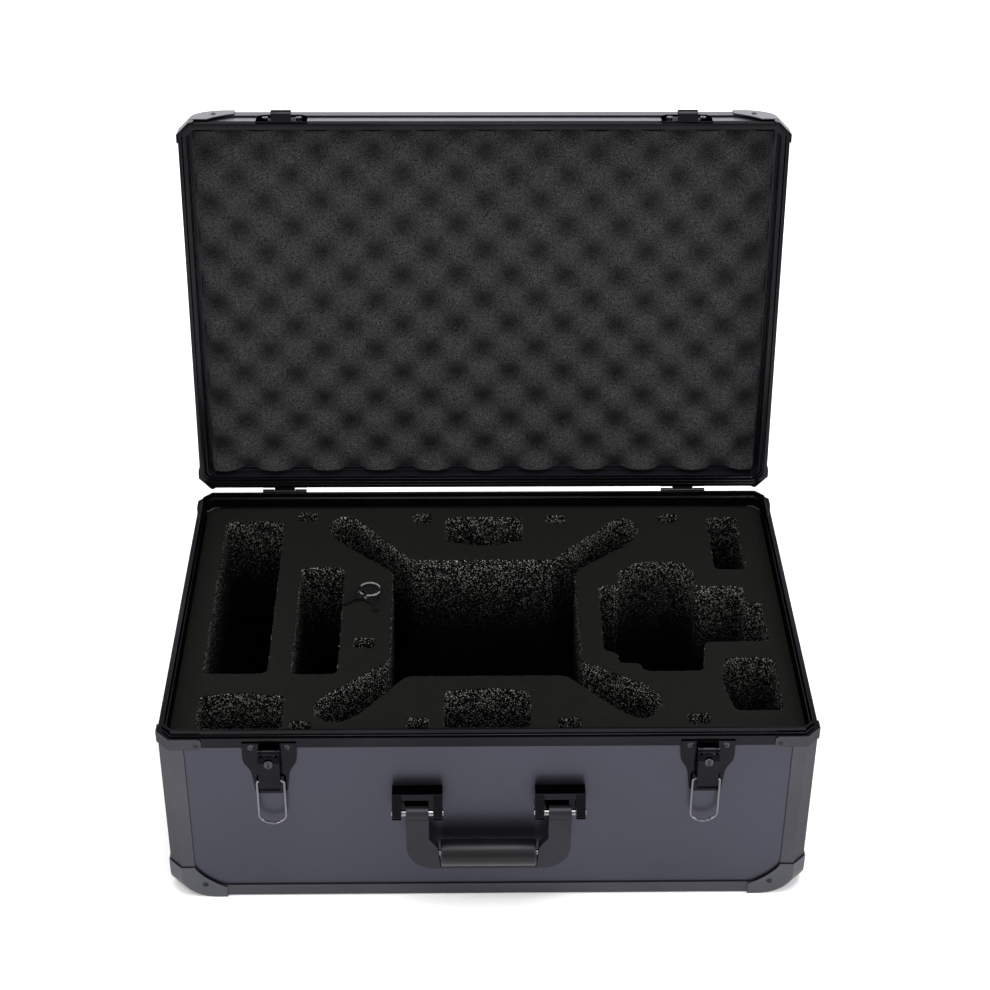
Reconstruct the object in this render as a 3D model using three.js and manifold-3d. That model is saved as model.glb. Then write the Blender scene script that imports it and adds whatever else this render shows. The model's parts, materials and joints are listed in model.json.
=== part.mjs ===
// Drone carrying case: a framed aluminium and board case with a hinged lid, shown open.
// Units are millimetres. +Z is up, +X is the right-hand side and -Y is the front, where the
// latches and the handle are. The origin is the centre of the bottom panel's outer face; the
// case itself stands on its four bottom corner brackets, just under that face.

import * as THREE from "three";
import { mergeVertices } from "three/addons/utils/BufferGeometryUtils.js";
import Module from "manifold-3d";

const wasm = await Module();
wasm.setup();

// ---- Driving dimensions ------------------------------------------------------------------

const caseWidth = 500; // over the frame, side to side
const caseDepth = 330; // over the frame, front to back
const baseHeight = 159.5; // bottom panel's outer face to the rim plane
const lidHeight = 33.5; // rim plane to the lid panel's outer face
const openAngle = 97; // how far the lid stands open, against its hinge stops

const gap = 0.3; // clearance between fitted pieces
const sheet = 1; // aluminium section and bracket thickness
const panel = 4; // laminated board thickness
const cornerCut = 9.7; // leg of the 45 degree cut at each upright corner
const postFlange = 10.3; // how far a corner post laps over each wall

const rimFlange = 9; // height of the rim section's outer flange
const rimWeb = 1.2; // thickness of the rim section's top web
const tongueInset = 3.4; // outer face of the frame to the tongue
const tongueWidth = 1.8;
const tongueHeight = 5;
const rimGap = 0.4; // between the two rims when the case is shut
const lidRimLip = 2.7; // inner flange of the lid's rim, above the rebate

const trimFlange = 9; // how far the edge trim laps over a wall
const trimFoot = 10; // how far the edge trim laps under the bottom panel
const trimLip = 3.4; // inner flange of the edge trim, along the bottom panel

const bracketHeight = 31; // corner bracket, up the post
const bracketReach = 44; // corner bracket, along the edge
const bracketPostWidth = 20.5; // corner bracket's width beside the post
const bracketFootHeight = 10.5; // corner bracket's height along the edge
const bracketRadius = 20; // rounding of the bracket's outer lower corner
const rimCornerHeight = 10; // rim corner piece
const rimCornerFront = 34; // rim corner piece, along the front or back
const rimCornerSide = 20; // rim corner piece, along the side
const lidCornerFront = 13;
const lidCornerSide = 17;
const cornerEarRounding = 3.1; // radius at the ends of the rim corner pieces
const postLap = 7.3; // inner flanges of a corner post, along the boards

const foamGap = 0.4; // foam to the frame
const foamTopDepth = 10; // rim plane down to the foam's top
const padHeight = 40; // plain foam under the cut foam
const lidFoamGap = 3.6; // lid foam to the lid's frame
const lidFoamDepth = 15; // thickness of the lid foam, to its mean surface

const hingeSpan = 176; // case centre to hinge centre
const hingeWidth = 38.6;
const hingeOffset = 4; // hinge pin behind the frame's back face
const hingePinRadius = 1.2;
const hingeKnuckleRadius = 2.6;
const hingeLeaf = 1.2; // leaf thickness
const hingeLeafHeight = 20; // leaf, pin to free edge
const hingeKnuckleShare = 0.26; // share of the width in each outer knuckle
const pinClearance = 0.25; // pin to bore, all hinges of the case

const latchSpan = 165.5; // case centre to latch centre
const latchPlateTop = 3.5; // rim plane down to the latch plate
const latchPlateHeight = 49.5;
const latchPlateWidth = 41;
const latchPlateFoot = 25; // width of the plate's lower end
const latchShoulder = 14; // plate's top down to the end of its upright sides
const latchWaist = 14; // height of the narrow foot
const latchPlate = 1.2; // plate thickness
const leverPivotDrop = 9.5; // rim plane down to the lever's pin
const leverPivotOut = 3.7; // plate's face out to the lever's pin
const leverPinRadius = 1.4;
const leverBarrelRadius = 3.2;
const leverWidth = 16.3;
const leverCheek = 1.15; // thickness of the lever's side cheeks
const leverBack = 2.2; // the channel's open side, behind the pin
const earGap = 0.5; // the plate's ears to the inside of the lever's cheeks
const leverLength = 34.8; // pin to the lever's free end
const leverEndRounding = 6.2; // radius at the free end's corners
const leverHeel = 3; // slope of the free end's underside, over its depth
const leverRise = 6.3; // lever's front face in front of its pin
const leverSkin = 1.3;
const lockRadius = 3.6;
const lockDrop = 6.5; // lever's pin down to the lock's centre
const lockProud = 0.8;
const bailDrop = 28; // lever's pin down to the bail's
const bailWire = 1.15; // wire radius
const bailGap = 1.05; // lever's cheeks to the bail's legs
const bailCorner = 2; // radius at the top of the bail
const bailLength = 42.85; // bail's pivot to the middle of its end
const bailPoint = 2; // how far the end of the loop dips to a point

const catchWidth = 42;
const catchHeight = 20;
const catchLift = 2; // rim plane up to the catch plate
const catchHookWidth = 16.5;
const catchHookDepth = 9.5;
const catchHookFloor = 3; // rim plane up to the top of the hook's shelf
const catchHookTip = 8; // rim plane up to the tip of the hook
const catchHookLip = 3; // thickness of the hook's upright tip
const catchRounding = 8; // radius of the catch plate's upper corners

const handleSpan = 54.5; // case centre to each handle bracket
const handleBracketWidth = 38.5;
const handleBracketTop = 48; // rim plane down to the bracket
const handleBracketHeight = 24;
const handleEar = 7; // ear thickness
const handleEarDepth = 19.5; // wall out to the ear's end
const handleBacking = 2; // thickness of the bracket's plate on the wall
const handleBridge = 6; // height of the bridge between the ears
const handleBridgeDepth = 11;
const handlePivotDrop = 64; // rim plane down to the handle's pin
const handlePivotOut = 14; // wall out to the handle's pin
const handlePinRadius = 2.5;
const handleBarrelRadius = 5.6;
const bowWidth = 17.5; // width of the bow's flat arms
const bowThickness = 7;
const bowDrop = 55; // handle's pin to the bottom of the bow
const bowCorner = 22; // outer corner radius of the bow
const bowLip = 2.6; // strip of the bow under the grip
const gripRadius = 10.4;
const gripLength = 74;
const gripGap = 0.8; // grip to the bow's lip
const rodRadius = 2.4;
const rodReach = 5; // how far the rod runs into each arm of the bow

const keyBlank = 1.6; // key thickness
const keyRingRadius = 9;
const keyRingWire = 0.9;
const keyBow = 6.5; // radius of a key's round bow
const keyLength = 19.5;
const keyReach = 11; // ring's centre to a key's bow

const armPocket = 24; // width of the round end of an aircraft arm's pocket
const pocketRadius = 7;
const smallPocketRadius = 3;
const bladeSlotWidth = 17;
const bladeSlotDepth = 13;

// ---- Derived sizes -----------------------------------------------------------------------

const wallInset = sheet + gap; // frame's face to the board's outer face
const innerInset = wallInset + panel + gap; // frame's face to the sections' inner flanges
const innerFace = innerInset + sheet; // frame's face to the inside of the frame
const trimBottom = -gap - sheet; // underside of the edge trims
const bracketBottom = trimBottom - gap - sheet; // underside of the corner brackets
const bracketOut = -gap - sheet; // inset of the brackets' outer faces
const foamInset = innerFace + foamGap;
const frontFace = -caseDepth / 2;
const backFace = caseDepth / 2;
const wallFace = frontFace + wallInset; // front board's outer face
const plateFace = frontFace - gap - latchPlate; // front of the latch and catch plates
const leverPinY = plateFace - leverPivotOut;
const leverPinZ = baseHeight - leverPivotDrop;
const bailZ = leverPinZ - bailDrop;
const bailWidth = leverWidth + 2 * (bailGap + 2 * bailWire); // over the wire
const earInner = leverWidth / 2 - leverCheek - earGap - latchPlate; // the plate's ears
const handlePinY = wallFace - handlePivotOut;
const handlePinZ = baseHeight - handlePivotDrop;
const foamTop = baseHeight - foamTopDepth;
const hingeY = backFace + hingeOffset;

// ---- Materials ---------------------------------------------------------------------------

function finish(color, roughness, metalness) {
  return new THREE.MeshStandardMaterial({ color, roughness, metalness });
}

const boardFinish = finish(0x50505c, 0.42, 0.5);
const frameFinish = finish(0x35353a, 0.38, 0.7);
const bracketFinish = finish(0x45454d, 0.42, 0.6);
const blackChrome = finish(0x111114, 0.18, 0.9);
const brightSteel = finish(0xb9babd, 0.2, 1);
const foamFinish = finish(0x201f1d, 0.95, 0);
const lidFoamFinish = finish(0x2c2c2d, 0.95, 0);
const castFinish = finish(0x33343a, 0.5, 0.3);
const gripFinish = finish(0x17171a, 0.4, 0);

// ---- Solids ------------------------------------------------------------------------------

// A closed three.js geometry as a solid that can be joined and cut.
function solid(geometry) {
  const bare = geometry.clone();
  bare.deleteAttribute("normal");
  bare.deleteAttribute("uv");
  const merged = mergeVertices(bare, 1e-4);
  return new wasm.Manifold(
    new wasm.Mesh({
      numProp: 3,
      vertProperties: new Float32Array(merged.attributes.position.array),
      triVerts: new Uint32Array(merged.index.array),
    }),
  );
}

// A solid back as a three.js geometry.
function geometryOf(made) {
  const mesh = made.getMesh();
  const geometry = new THREE.BufferGeometry();
  geometry.setAttribute("position", new THREE.BufferAttribute(mesh.vertProperties, 3));
  geometry.setIndex(new THREE.BufferAttribute(mesh.triVerts, 1));
  geometry.computeVertexNormals();
  return geometry;
}

function join(...parts) {
  return parts.reduce((whole, part) => whole.add(part));
}

function cut(body, ...tools) {
  return tools.reduce((whole, tool) => whole.subtract(tool), body);
}

// A block between two corners.
function block(x0, x1, y0, y1, z0, z1) {
  const geometry = new THREE.BoxGeometry(x1 - x0, y1 - y0, z1 - z0);
  geometry.translate((x0 + x1) / 2, (y0 + y1) / 2, (z0 + z1) / 2);
  return solid(geometry);
}

// A flat shape in x and y, raised from z0 to z1.
function plate(shape, z0, z1, curveSegments = 12) {
  const geometry = new THREE.ExtrudeGeometry(shape, {
    depth: z1 - z0,
    bevelEnabled: false,
    curveSegments,
  });
  geometry.translate(0, 0, z0);
  return solid(geometry);
}

// A flat shape drawn in x and z, as seen from the front, reaching from y0 back to y1.
function frontPlate(shape, y0, y1, curveSegments = 5) {
  const geometry = new THREE.ExtrudeGeometry(shape, {
    depth: y1 - y0,
    bevelEnabled: false,
    curveSegments,
  });
  geometry.rotateX(Math.PI / 2);
  geometry.translate(0, y1, 0);
  return solid(geometry);
}

// A flat shape drawn in y and z, as seen from the right, reaching from x0 to x1.
function sidePlate(shape, x0, x1, curveSegments = 5) {
  const geometry = new THREE.ExtrudeGeometry(shape, {
    depth: x1 - x0,
    bevelEnabled: false,
    curveSegments,
  });
  geometry.rotateX(Math.PI / 2);
  geometry.rotateZ(Math.PI / 2);
  geometry.translate(x0, 0, 0);
  return solid(geometry);
}

// A rod along X from x0 to x1.
function rodX(radius, x0, x1, y, z, sides = 16) {
  const geometry = new THREE.CylinderGeometry(radius, radius, x1 - x0, sides);
  geometry.rotateZ(Math.PI / 2);
  geometry.translate((x0 + x1) / 2, y, z);
  return solid(geometry);
}

// A rod along Y from y0 to y1.
function rodY(radius, y0, y1, x, z, sides = 16) {
  const geometry = new THREE.CylinderGeometry(radius, radius, y1 - y0, sides);
  geometry.translate(x, (y0 + y1) / 2, z);
  return solid(geometry);
}

function polygon(points) {
  return new THREE.Shape(points.map(([x, y]) => new THREE.Vector2(x, y)));
}

// The case's plan: a rectangle with its corners cut at 45 degrees, inset from the frame's face.
function planPoints(inset, leg = cornerCut - inset * (2 - Math.SQRT2)) {
  const x = caseWidth / 2 - inset;
  const y = caseDepth / 2 - inset;
  return [
    [-x + leg, -y],
    [x - leg, -y],
    [x, -y + leg],
    [x, y - leg],
    [x - leg, y],
    [-x + leg, y],
    [-x, y - leg],
    [-x, -y + leg],
  ];
}

function planSlab(inset, z0, z1) {
  return plate(polygon(planPoints(inset)), z0, z1);
}

// A band round the case between two insets and two heights.
function band(outer, inner, z0, z1) {
  const shape = polygon(planPoints(outer));
  shape.holes.push(new THREE.Path(polygon(planPoints(inner)).getPoints()));
  return plate(shape, z0, z1);
}

// What the rounded lower corners take off: four prisms outside a quarter round, each lying
// along a cut corner. The rounding is concentric for every inset from the bracket's face.
function cornerRounds(inset) {
  const radius = bracketRadius - (inset - bracketOut);
  const x = caseWidth / 2 - inset;
  const y = caseDepth / 2 - inset;
  const leg = cornerCut - inset * (2 - Math.SQRT2);
  const face = (x + y - leg) / Math.SQRT2;
  const low = bracketBottom + inset - bracketOut;
  const spare = 10;
  const shape = new THREE.Shape();
  shape.moveTo(face + spare, low - spare);
  shape.lineTo(face - radius, low - spare);
  shape.lineTo(face - radius, low);
  shape.absarc(face - radius, low + radius, radius, -Math.PI / 2, 0, false);
  shape.lineTo(face + spare, low + radius);
  const length = 4 * bracketReach;
  const slope = Math.atan2(1, 1);
  // The plan is not square, so each prism is moved along its corner's face to cover it.
  return [0, 1, 2, 3].map((corner) => {
    const geometry = new THREE.ExtrudeGeometry(shape, {
      depth: length,
      bevelEnabled: false,
      curveSegments: 5,
    });
    geometry.translate(0, 0, -length / 2);
    geometry.rotateX(Math.PI / 2);
    const right = corner === 0 || corner === 3 ? 1 : -1;
    const back = corner < 2 ? 1 : -1;
    geometry.rotateZ(Math.atan2(back * Math.sin(slope), right * Math.cos(slope)));
    const along = (caseWidth - caseDepth) / (2 * Math.SQRT2);
    const dx = right * Math.cos(slope) * along;
    const dy = -back * Math.sin(slope) * along;
    geometry.translate(dx, dy, 0);
    return solid(geometry);
  });
}

function rounded(body, inset) {
  return cut(body, ...cornerRounds(inset));
}

// The four corners, as signs of x and y, with their names.
const corners = [
  ["front_left", -1, -1],
  ["front_right", 1, -1],
  ["back_left", -1, 1],
  ["back_right", 1, 1],
];

// A piece made for the front left corner, mirrored to another.
function atCorner(made, right, back) {
  let placed = made;
  if (right > 0) placed = placed.mirror([1, 0, 0]);
  if (back > 0) placed = placed.mirror([0, 1, 0]);
  return placed;
}

// ---- Assembly groups ---------------------------------------------------------------------

const drone_case = new THREE.Group();
const lid = new THREE.Group();
drone_case.add(lid);

function add(group, name, made, material) {
  const mesh = new THREE.Mesh(geometryOf(made), material);
  mesh.name = name;
  group.add(mesh);
  return mesh;
}

// ---- Base shell: boards, corner posts, edge trim and rim -----------------------------------

const wallBottom = panel + 2 * gap; // the walls stand on the trim's core
const wallTop = baseHeight - rimWeb - gap;
const postTop = baseHeight - rimFlange - gap;
const postCore = cornerCut + sheet; // the posts' solid corner ends here along each wall
const wallEnd = postCore + gap;

// The bottom and lid boards: the outer skin stops short of the edge trims and the brackets.
function broadPanel() {
  const skinInset = trimFoot + gap;
  const skinLeg = bracketReach + bracketFootHeight + 2 * gap - 2 * skinInset;
  const board = rounded(planSlab(innerFace + gap, gap, panel), wallInset);
  return join(board, plate(polygon(planPoints(skinInset, skinLeg)), 0, panel));
}

add(drone_case, "bottom_panel", broadPanel(), boardFinish);

// The walls stand between the posts, with their edges in the posts' slots.
function frontWall(y0) {
  const half = caseWidth / 2 - wallEnd;
  return block(-half, half, y0, y0 + panel, wallBottom, wallTop);
}

function sideWall(x0) {
  const half = caseDepth / 2 - wallEnd;
  return block(x0, x0 + panel, -half, half, wallBottom, wallTop);
}

add(drone_case, "front_panel", rounded(frontWall(wallFace), wallInset), boardFinish);
add(
  drone_case,
  "back_panel",
  rounded(frontWall(backFace - wallInset - panel), wallInset),
  boardFinish,
);
add(
  drone_case,
  "left_panel",
  rounded(sideWall(-caseWidth / 2 + wallInset), wallInset),
  boardFinish,
);
add(
  drone_case,
  "right_panel",
  rounded(sideWall(caseWidth / 2 - wallInset - panel), wallInset),
  boardFinish,
);

// Edge trim: an outer angle that laps the wall and the bottom, a core in the corner, and an
// inner angle, so that both boards sit in slots.
const edgeTrim = rounded(
  join(
    band(0, sheet, trimBottom, trimFlange),
    band(0, trimFoot, trimBottom, -gap),
    band(0, innerFace, trimBottom, panel + gap),
    band(innerInset, innerFace, panel, trimFlange),
    band(innerInset, innerFace + trimLip, panel + gap, panel + gap + sheet),
  ),
  0,
);
add(drone_case, "base_edge_trim", edgeTrim, frameFinish);

// Rim: the section that closes the walls' top edges and carries the tongue.
add(
  drone_case,
  "base_rim",
  join(
    band(0, sheet, baseHeight - rimFlange, baseHeight),
    band(0, innerFace, baseHeight - rimWeb, baseHeight),
    band(innerInset, innerFace, baseHeight - rimFlange, baseHeight),
    band(tongueInset, tongueInset + tongueWidth, baseHeight - rimWeb, baseHeight + tongueHeight),
  ),
  frameFinish,
);

// Corner post: 45 degree face, two outer flanges and two inner ones that hold the boards.
function cornerPost() {
  const x = -caseWidth / 2;
  const y = -caseDepth / 2;
  const reach = cornerCut + postFlange;
  const inner = cornerCut + postLap;
  const legInner = cornerCut - innerFace * (2 - Math.SQRT2) + innerFace;
  const half = [
    [cornerCut, 0],
    [reach, 0],
    [reach, sheet],
    [postCore, sheet],
    [postCore, innerInset],
    [inner, innerInset],
    [inner, innerFace],
    [legInner, innerFace],
  ];
  const other = half.map(([u, v]) => [v, u]).reverse();
  const outline = [...half, ...other].map(([u, v]) => [x + u, y + v]);
  const bottom = panel + gap + sheet + gap;
  const foot = plate(polygon(outline), trimFlange + gap, postTop);
  const core = planSlab(innerFace, bottom, postTop);
  return cut(foot, core);
}

for (const [name, right, back] of corners) {
  const post = rounded(atCorner(cornerPost(), right, back), 0);
  add(drone_case, `corner_post_${name}`, post, frameFinish);
}

// ---- Corner brackets ---------------------------------------------------------------------

// What the bracket's concave edge takes off, drawn from the corner along one edge.
function bracketOutline(far) {
  const shape = new THREE.Shape();
  const shoulder = bracketHeight - 1.5;
  shape.moveTo(bracketReach, -far);
  shape.lineTo(bracketReach, bracketFootHeight);
  shape.lineTo(bracketReach - 1, bracketFootHeight);
  shape.bezierCurveTo(
    bracketPostWidth + 11.5,
    bracketFootHeight + 5.5,
    bracketPostWidth + 4,
    bracketFootHeight + 12,
    bracketPostWidth,
    shoulder,
  );
  shape.lineTo(bracketPostWidth, bracketHeight);
  shape.lineTo(-far, bracketHeight);
  shape.lineTo(-far, far + bracketHeight);
  shape.lineTo(far + bracketReach, far + bracketHeight);
  shape.lineTo(far + bracketReach, -far);
  return shape;
}

// One bracket for the front left lower corner: a shell over the frame, cut to its outline on
// the front, on the side and underneath.
function cornerBracket() {
  const far = 20;
  const x = -caseWidth / 2;
  const y = -caseDepth / 2;
  const outer = planSlab(bracketOut, bracketBottom, bracketBottom + bracketHeight);
  const inner = planSlab(-gap, bracketBottom + sheet, bracketBottom + bracketHeight + 2 * far);
  const shell = cut(rounded(outer, bracketOut), rounded(inner, -gap));
  const reach = bracketReach + far;
  const corner = block(x - far, x + reach, y - far, y + reach, bracketBottom - far, far + reach);
  const outline = bracketOutline(far);
  const front = frontPlate(outline, y - far, y - gap / 2).translate(x, 0, bracketBottom);
  const side = sidePlate(outline, x - far, x - gap / 2).translate(0, y, bracketBottom);
  const footShape = new THREE.Shape();
  footShape.moveTo(bracketReach, -far);
  footShape.lineTo(bracketReach, bracketFootHeight);
  footShape.bezierCurveTo(
    bracketPostWidth + 6,
    bracketFootHeight + 3,
    bracketFootHeight + 3,
    bracketPostWidth + 6,
    bracketFootHeight,
    bracketReach,
  );
  footShape.lineTo(-far, bracketReach);
  footShape.lineTo(-far, reach + far);
  footShape.lineTo(reach + far, reach + far);
  footShape.lineTo(reach + far, -far);
  const foot = plate(footShape, bracketBottom - far, bracketBottom + sheet + gap / 2);
  return cut(shell.intersect(corner), front, side, foot.translate(x, y, 0));
}

const bracket = cornerBracket();
for (const [name, right, back] of corners) {
  add(drone_case, `base_bracket_${name}`, atCorner(bracket, right, back), bracketFinish);
}

// Rim corner piece: a low band round the cut corner, with an ear along each rim.
function rimCorner(z0, z1, frontReach, sideReach) {
  const far = 20;
  const x = -caseWidth / 2;
  const y = -caseDepth / 2;
  const ring = band(bracketOut, -gap, z0, z1);
  const corner = block(x - far, x + frontReach, y - far, y + sideReach, z0 - far, z1 + far);
  const radius = cornerEarRounding;
  const ear = (reach) => {
    const shape = new THREE.Shape();
    shape.moveTo(-far, z0);
    shape.lineTo(reach - radius, z0);
    shape.absarc(reach - radius, z0 + radius, radius, -Math.PI / 2, 0, false);
    shape.lineTo(reach, z1 - radius);
    shape.absarc(reach - radius, z1 - radius, radius, 0, Math.PI / 2, false);
    shape.lineTo(-far, z1);
    return shape;
  };
  const front = frontPlate(ear(frontReach), y - far, y, 4).translate(x, 0, 0);
  const side = sidePlate(ear(sideReach), x - far, x, 4).translate(0, y, 0);
  const slant = planSlab(bracketOut - far, z0, z1).subtract(planSlab(-gap, z0 - far, z1 + far));
  const cornerOnly = block(x - far, x + cornerCut, y - far, y + cornerCut, z0, z1);
  return ring.intersect(corner).intersect(join(front, side, slant.intersect(cornerOnly)));
}

const baseCorner = rimCorner(
  baseHeight - rimCornerHeight,
  baseHeight,
  rimCornerFront,
  rimCornerSide,
);
for (const [name, right, back] of corners) {
  add(drone_case, `rim_corner_${name}`, atCorner(baseCorner, right, back), bracketFinish);
}

// ---- Foam in the base --------------------------------------------------------------------

const cavityFloor = panel + gap + sheet + gap;
const padTop = cavityFloor + padHeight;

add(drone_case, "foam_base_pad", planSlab(foamInset, cavityFloor, padTop), foamFinish);

// A pocket outline with every corner rounded by its radius. Each point is [x, y] or
// [x, y, radius].
function pocket(points, radius) {
  const path = new THREE.Path();
  const count = points.length;
  for (let i = 0; i < count; i++) {
    const before = new THREE.Vector2(...points[(i + count - 1) % count].slice(0, 2));
    const here = new THREE.Vector2(...points[i].slice(0, 2));
    const after = new THREE.Vector2(...points[(i + 1) % count].slice(0, 2));
    const own = points[i][2] ?? radius;
    const into = before.clone().sub(here);
    const out = after.clone().sub(here);
    const bite = Math.min(own, into.length() * 0.48, out.length() * 0.48);
    const start = here.clone().add(into.setLength(bite));
    const end = here.clone().add(out.setLength(bite));
    if (i === 0) path.moveTo(start.x, start.y);
    else path.lineTo(start.x, start.y);
    path.quadraticCurveTo(here.x, here.y, end.x, end.y);
  }
  path.closePath();
  return path;
}

function rectangle(x0, x1, y0, y1) {
  return [
    [x0, y0],
    [x1, y0],
    [x1, y1],
    [x0, y1],
  ];
}

// The aircraft's body is a wide pocket, and its four arms run out of the body's corners.
const bodyLeft = -78;
const bodyRight = 76;
const bodyFront = -78;
const bodyBack = 79;
const aircraftPocket = [
  [-62, bodyBack, 3],
  [-112, 142, armPocket / 2],
  [-124, 148, armPocket / 2],
  [-138, 130, armPocket / 2],
  [-128, 109, armPocket / 2],
  [bodyLeft, 62, 5],
  [bodyLeft, -58, 5],
  [-130, -104, armPocket / 2],
  [-138, -121, armPocket / 2],
  [-121, -137, armPocket / 2],
  [-102, -128, armPocket / 2],
  [-64, bodyFront, 6],
  [62, bodyFront, 6],
  [104, -124, armPocket / 2],
  [120, -134, armPocket / 2],
  [138, -116, armPocket / 2],
  [130, -94, armPocket / 2],
  [bodyRight, -60, 5],
  [bodyRight, 62, 5],
  [126, 104, armPocket / 2],
  [137, 124, armPocket / 2],
  [124, 144, armPocket / 2],
  [110, 136, armPocket / 2],
  [58, bodyBack, 3],
];

// The camera and its gimbal take a stepped pocket.
const cameraPocket = [
  [94, 41],
  [94, -46],
  [105, -50],
  [105, -62],
  [121, -63],
  [125, -73, 6],
  [172, -73, 6],
  [176, -36],
  [228, -35],
  [228, 16],
  [216, 16],
  [216, 39],
  [176, 40],
  [176, 60, 6],
  [168, 75, 6],
  [130, 75, 6],
  [112, 60],
  [112, 42],
];

const bladeSlots = [
  [-155, 145],
  [-54, 142],
  [62, 140],
  [161, 141],
  [-99, -35],
  [-144, -139],
  [-54, -136],
  [62, -136],
  [162, -132],
];

const pockets = [
  pocket(rectangle(-225, -174, -74, 138), pocketRadius),
  pocket(rectangle(-155.5, -118.5, -75, 69), pocketRadius),
  pocket([[-224, -141], [-158, -141], [-158, -102], [-191, -97, 20], [-224, -102]], 4),
  pocket(aircraftPocket, 5),
  pocket([[-34, 143.5], [-34, 107], [0, 99, 20], [33, 107], [33, 143.5]], 4),
  pocket([[-34, -141], [33, -141], [33, -98], [0, -92, 20], [-34, -98]], 4),
  pocket(cameraPocket, smallPocketRadius),
  pocket(rectangle(194.5, 221.5, 64, 141.5), 5),
  pocket([[190, -57], [184, -85, 12], [191, -122], [229, -122], [229, -57]], 5),
  ...bladeSlots.map(([x, y]) => {
    const halfWidth = bladeSlotWidth / 2;
    const halfDepth = bladeSlotDepth / 2;
    const outline = rectangle(x - halfWidth, x + halfWidth, y - halfDepth, y + halfDepth);
    return pocket(outline, smallPocketRadius);
  }),
];

const insertShape = polygon(planPoints(foamInset));
insertShape.holes.push(...pockets);
const insert = plate(insertShape, padTop + gap, foamTop, 3);
add(drone_case, "foam_insert", insert, foamFinish);

// ---- Keys --------------------------------------------------------------------------------

// A small stamped key lying flat: a round bow with a hole, and a blade.
function key(bowRadius, length, z0) {
  const shape = new THREE.Shape();
  const bladeHalf = 2.2;
  const neck = Math.acos(bladeHalf / bowRadius);
  shape.moveTo(bladeHalf, -bowRadius * Math.sin(neck));
  shape.absarc(0, 0, bowRadius, -neck, Math.PI + neck, false);
  shape.lineTo(-bladeHalf, -length + 2);
  shape.lineTo(0, -length);
  shape.lineTo(bladeHalf, -length + 3);
  const hole = new THREE.Path();
  hole.absarc(0, bowRadius * 0.3, bowRadius * 0.42, 0, 2 * Math.PI, true);
  shape.holes.push(hole);
  return plate(shape, z0, z0 + keyBlank, 5);
}

const keyFloor = foamTop + gap;
const ringSolid = solid(
  new THREE.TorusGeometry(keyRingRadius, keyRingWire, 4, 16).translate(
    0,
    0,
    keyFloor + keyBlank + keyRingWire - 0.4,
  ),
);
// One key lies flat and the other slants down across its bow on to the foam.
const flatKey = key(keyBow, keyLength, keyFloor).translate(0, -keyReach, 0).rotate([0, 0, 12]);
const slantedKey = key(keyBow, keyLength, 0)
  .rotate([3.3, 0, 0])
  .translate(0, -keyReach, keyFloor + keyBlank - gap / 2)
  .rotate([0, 0, -48]);
add(
  drone_case,
  "keys",
  join(ringSolid, flatKey, slantedKey).translate(-96.5, 34, 0),
  brightSteel,
);

// ---- Handle ------------------------------------------------------------------------------

// Bracket: a plate on the wall with two thick ears, bridged above the bow.
function handleBracket(x) {
  const half = handleBracketWidth / 2;
  const top = baseHeight - handleBracketTop;
  const bottom = top - handleBracketHeight;
  const back = wallFace - gap;
  const backing = block(x - half, x + half, back - handleBacking, back, bottom, top);
  const earShape = new THREE.Shape();
  const end = wallFace - handleEarDepth;
  const nose = handlePinY - end;
  earShape.moveTo(back, top);
  earShape.lineTo(back, bottom);
  earShape.lineTo(back - 3, bottom);
  earShape.lineTo(handlePinY + nose * 0.6, handlePinZ - nose);
  earShape.absarc(handlePinY, handlePinZ, nose, -Math.PI / 2, -Math.PI, true);
  earShape.lineTo(back - handleBridgeDepth, top);
  const bridge = block(x - half, x + half, back - handleBridgeDepth, back, top - handleBridge, top);
  const hole = rodX(handlePinRadius + gap, x - half - 1, x + half + 1, handlePinY, handlePinZ);
  return cut(
    join(
      backing,
      bridge,
      sidePlate(earShape, x - half, x - half + handleEar, 6),
      sidePlate(earShape, x + half - handleEar, x + half, 6),
    ),
    hole,
  );
}

// Bow: flat arms that end in barrels round the pins, joined by a lip under the grip.
function handleBow() {
  const out = handleSpan + bowWidth / 2;
  const low = handlePinZ - bowDrop;
  const shape = new THREE.Shape();
  shape.moveTo(-out, handlePinZ);
  shape.lineTo(-out, low + bowCorner);
  shape.absarc(-out + bowCorner, low + bowCorner, bowCorner, Math.PI, 1.5 * Math.PI, false);
  shape.lineTo(out - bowCorner, low);
  shape.absarc(out - bowCorner, low + bowCorner, bowCorner, -Math.PI / 2, 0, false);
  shape.lineTo(out, handlePinZ);
  const armInner = handleSpan - bowWidth / 2;
  const gripEnd = gripLength / 2 + gap;
  const gripTop = low + bowLip + gripGap + 2 * gripRadius;
  shape.lineTo(armInner, handlePinZ);
  shape.lineTo(armInner, gripTop + 6);
  shape.lineTo(gripEnd + 1.5, gripTop - 3);
  shape.lineTo(gripEnd, low + bowLip);
  shape.lineTo(-gripEnd, low + bowLip);
  shape.lineTo(-gripEnd - 1.5, gripTop - 3);
  shape.lineTo(-armInner, gripTop + 6);
  shape.lineTo(-armInner, handlePinZ);
  const half = bowThickness / 2;
  const flat = frontPlate(shape, handlePinY - half, handlePinY + half, 6);
  const barrels = [-1, 1].map((side) => {
    const x = side * handleSpan;
    return rodX(handleBarrelRadius, x - bowWidth / 2, x + bowWidth / 2, handlePinY, handlePinZ);
  });
  const reach = out + 1;
  const holeHalf = gripEnd + rodReach + 1;
  return cut(
    join(flat, ...barrels),
    rodX(handlePinRadius + pinClearance, -reach, reach, handlePinY, handlePinZ),
    rodX(rodRadius + gap, -holeHalf, holeHalf, handlePinY, gripCentreZ),
  );
}

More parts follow.
